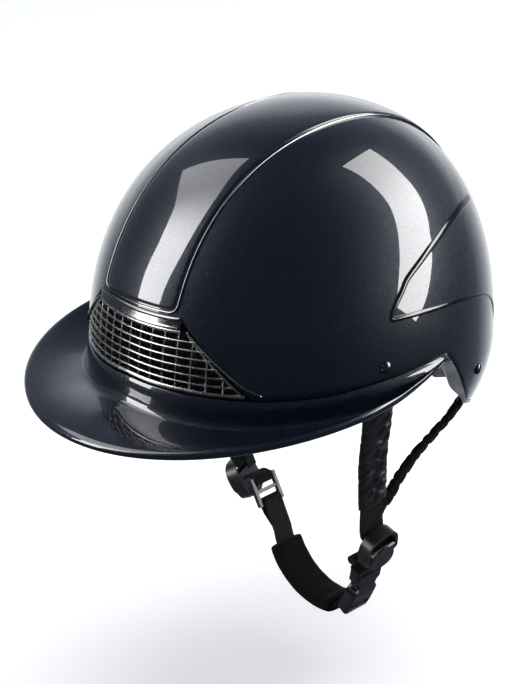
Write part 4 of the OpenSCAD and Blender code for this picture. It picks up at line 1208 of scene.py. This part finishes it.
def strip_glow(name, strength, fade):
    """Light that fades along the strip: from and to a share of it, down to a share of its strength."""
    material = bpy.data.materials.new(name)
    material.use_nodes = True
    tree = material.node_tree
    tree.nodes.clear()
    start, end, rest = fade
    along = added(tree, "SeparateXYZ", {0: added(tree, "UVMap", uv_map="UVMap").outputs["UV"]}).outputs["Y"]
    fall = {"Value": along, "From Min": start, "From Max": end, "To Min": strength, "To Max": strength * rest}
    level = added(tree, "MapRange", fall, interpolation_type="SMOOTHSTEP")
    glow = added(tree, "Emission", {"Strength": level.outputs["Result"]})
    out = added(tree, "OutputMaterial")
    tree.links.new(glow.outputs[0], out.inputs["Surface"])
    return material


def soft_strip(name, centre_line, distance, strength, fade):
    """A curved strip light through directions of azimuth and elevation, with its width in degrees at each."""
    stations = []
    for azimuth, elevation, width in centre_line:
        a, e = math.radians(azimuth), math.radians(elevation)
        stations.append([math.cos(e) * math.cos(a), math.cos(e) * math.sin(a), math.sin(e), width])
    stations = curve(stations, 10)
    middle = unit(stations[:, :3])
    across = unit(np.cross(middle, np.gradient(middle, axis=0)))
    half = np.tan(np.radians(stations[:, 3] / 2))[:, None]
    rows = np.stack([middle - across * half, middle + across * half], axis=1) * distance
    uv = [(side, share) for share in np.linspace(0, 1, len(rows)) for side in (0, 1)]
    glow = strip_glow(name + "Glow", strength, fade)
    strip = piece_from(name, rows.reshape(-1, 3) / MM, grid_faces(len(rows), 2), glow, uv=uv)
    strip.visible_camera = False
    strip.visible_shadow = False
    strip.visible_diffuse = False


AWAY = (-0.663, 0.618, -0.422)        # from the camera past the helmet
FLOOR_GLOW = 0.48
GLOW_CENTRE = (0, 0, 0.05)            # where the floor's reflected light is centred, in metres
STRIP_DISTANCE = 1.7
LENS, SENSOR = 117.4279, 36           # of the camera, in millimetres
SWING_ROOM = 56                       # under the helmet, for the chin strap when it swings down
SURROUND = [(0.0, 0.06), (0.3, 0.11), (0.45, 0.15), (0.58, 0.19), (0.7, 0.5), (0.85, 0.86)]
DIM_TINT = np.array([0.7, 0.86, 1.16])
BRIGHT_TINT = np.array([0.96, 0.99, 1.02])


def surround_glow(tree, direction, strength):
    """The studio's light in a direction: white far behind the helmet, dim and blue before it."""
    facing = added(tree, "VectorMath", {0: direction, 1: AWAY}, operation="DOT_PRODUCT")
    ramp = added(tree, "ValToRGB", {"Fac": facing.outputs["Value"]})
    for position, _ in SURROUND[1:-1]:
        ramp.color_ramp.elements.new(position)
    for element, (position, level) in zip(ramp.color_ramp.elements, SURROUND):
        element.position = position
        tint = mix(DIM_TINT, BRIGHT_TINT, level / SURROUND[-1][1])
        element.color = (*(level * tint), 1)
    scaled = added(tree, "VectorMath", {0: ramp.outputs["Color"], "Scale": strength}, operation="SCALE")
    return scaled.outputs[0]


def either_of(tree, condition, plain, other, target):
    """The plain shader, and another for the kind of ray that the condition names."""
    rays = added(tree, "LightPath")
    mixed = added(tree, "MixShader", {0: rays.outputs[condition], 1: plain.outputs[0], 2: other.outputs[0]})
    tree.links.new(mixed.outputs[0], target)


def build_world():
    world = bpy.data.worlds.new("Studio")
    bpy.context.scene.world = world
    world.use_nodes = True
    tree = world.node_tree
    tree.nodes.clear()
    place = added(tree, "TexCoord").outputs["Generated"]
    surround = added(tree, "Background", {"Color": surround_glow(tree, place, 1.6)})
    seen = added(tree, "Background", {"Strength": 1.0})
    out = added(tree, "OutputWorld")
    either_of(tree, "Is Camera Ray", surround, seen, out.inputs["Surface"])


def floor_material():
    """Pale to the eye, with the studio's own brightness in reflections."""
    material = bpy.data.materials.new("FloorPale")
    material.use_nodes = True
    tree = material.node_tree
    shader = tree.nodes["Principled BSDF"]
    for key, value in {"Base Color": (0.93, 0.93, 0.935, 1), "Roughness": 0.9, "Specular IOR Level": 0.1,
                       "Emission Color": (1, 1, 1, 1), "Emission Strength": FLOOR_GLOW}.items():
        shader.inputs[key].default_value = value
    place = added(tree, "TexCoord").outputs["Object"]
    from_helmet = added(tree, "VectorMath", {0: place, 1: GLOW_CENTRE}, operation="SUBTRACT").outputs[0]
    direction = added(tree, "VectorMath", {0: from_helmet}, operation="NORMALIZE").outputs[0]
    glow = added(tree, "Emission", {"Color": surround_glow(tree, direction, 1.25)})
    either_of(tree, "Is Glossy Ray", shader, glow, tree.nodes["Material Output"].inputs["Surface"])
    return material


def build_floor():
    """A wide disc far under the helmet."""
    level = cad_box[0][2] / MM - SWING_ROOM
    radii, count = (1, 600, 3000, 9000), 64
    turns = np.linspace(0, 2 * np.pi, count, endpoint=False)
    points = [(r * math.cos(t), r * math.sin(t), level) for r in radii for t in turns]
    faces = grid_faces(len(radii), count, around=True) + [tuple(range(count))]
    piece_from("Floor", points, faces, floor_material())


def area_light(name, place, aim, size, power):
    light = bpy.data.lights.new(name, "AREA")
    light.shape = "RECTANGLE"
    light.size, light.size_y = size
    light.energy = power
    lamp = placed(name, light)
    lamp.location = place
    lamp.rotation_euler = (Vector(aim) - Vector(place)).to_track_quat("-Z", "Y").to_euler()
    lamp.visible_camera = False
    lamp.visible_glossy = False


def build_lights():
    front = [(-118, 2, 19), (-118.4, 15, 19.6), (-119.7, 36, 21.5), (-138.5, 54.5, 24), (-185.5, 54, 29)]
    side = [(28, -4, 12), (33, 2, 16.5), (41, 12.4, 19.3), (53.8, 28.6, 20.5), (64, 42.3, 19.2),
            (83, 54.5, 19)]
    soft_strip("StripFront", front, STRIP_DISTANCE, 15, (0.5, 0.85, 0.25))
    soft_strip("StripSide", side, STRIP_DISTANCE, 14.5, (0.55, 1.0, 0.5))
    area_light("SoftTop", (0.3, 0.2, 2.2), (0, 0, 0), (2.4, 2.4), 55)
    area_light("SoftFront", (1.6, -1.7, 1.0), (0, 0, -0.1), (1.6, 1.2), 14)


def build_camera():
    place = (0.9116, -0.8860, 0.5871)
    right, up = Vector((0.691, 0.722, -0.028)), Vector((-0.288, 0.310, 0.906))
    back = right.cross(up).normalized()
    up = back.cross(right).normalized()
    right.normalize()
    camera = bpy.data.cameras.new("Camera")
    camera.sensor_width = SENSOR
    camera.lens = LENS
    camera.clip_end = 40
    eye = placed("Camera", camera)
    eye.matrix_world = Matrix.Translation(place) @ Matrix((right, up, back)).transposed().to_4x4()
    bpy.context.scene.camera = eye


build_world()
build_floor()
build_lights()
build_camera()
bpy.context.scene.view_settings.view_transform = "Standard"
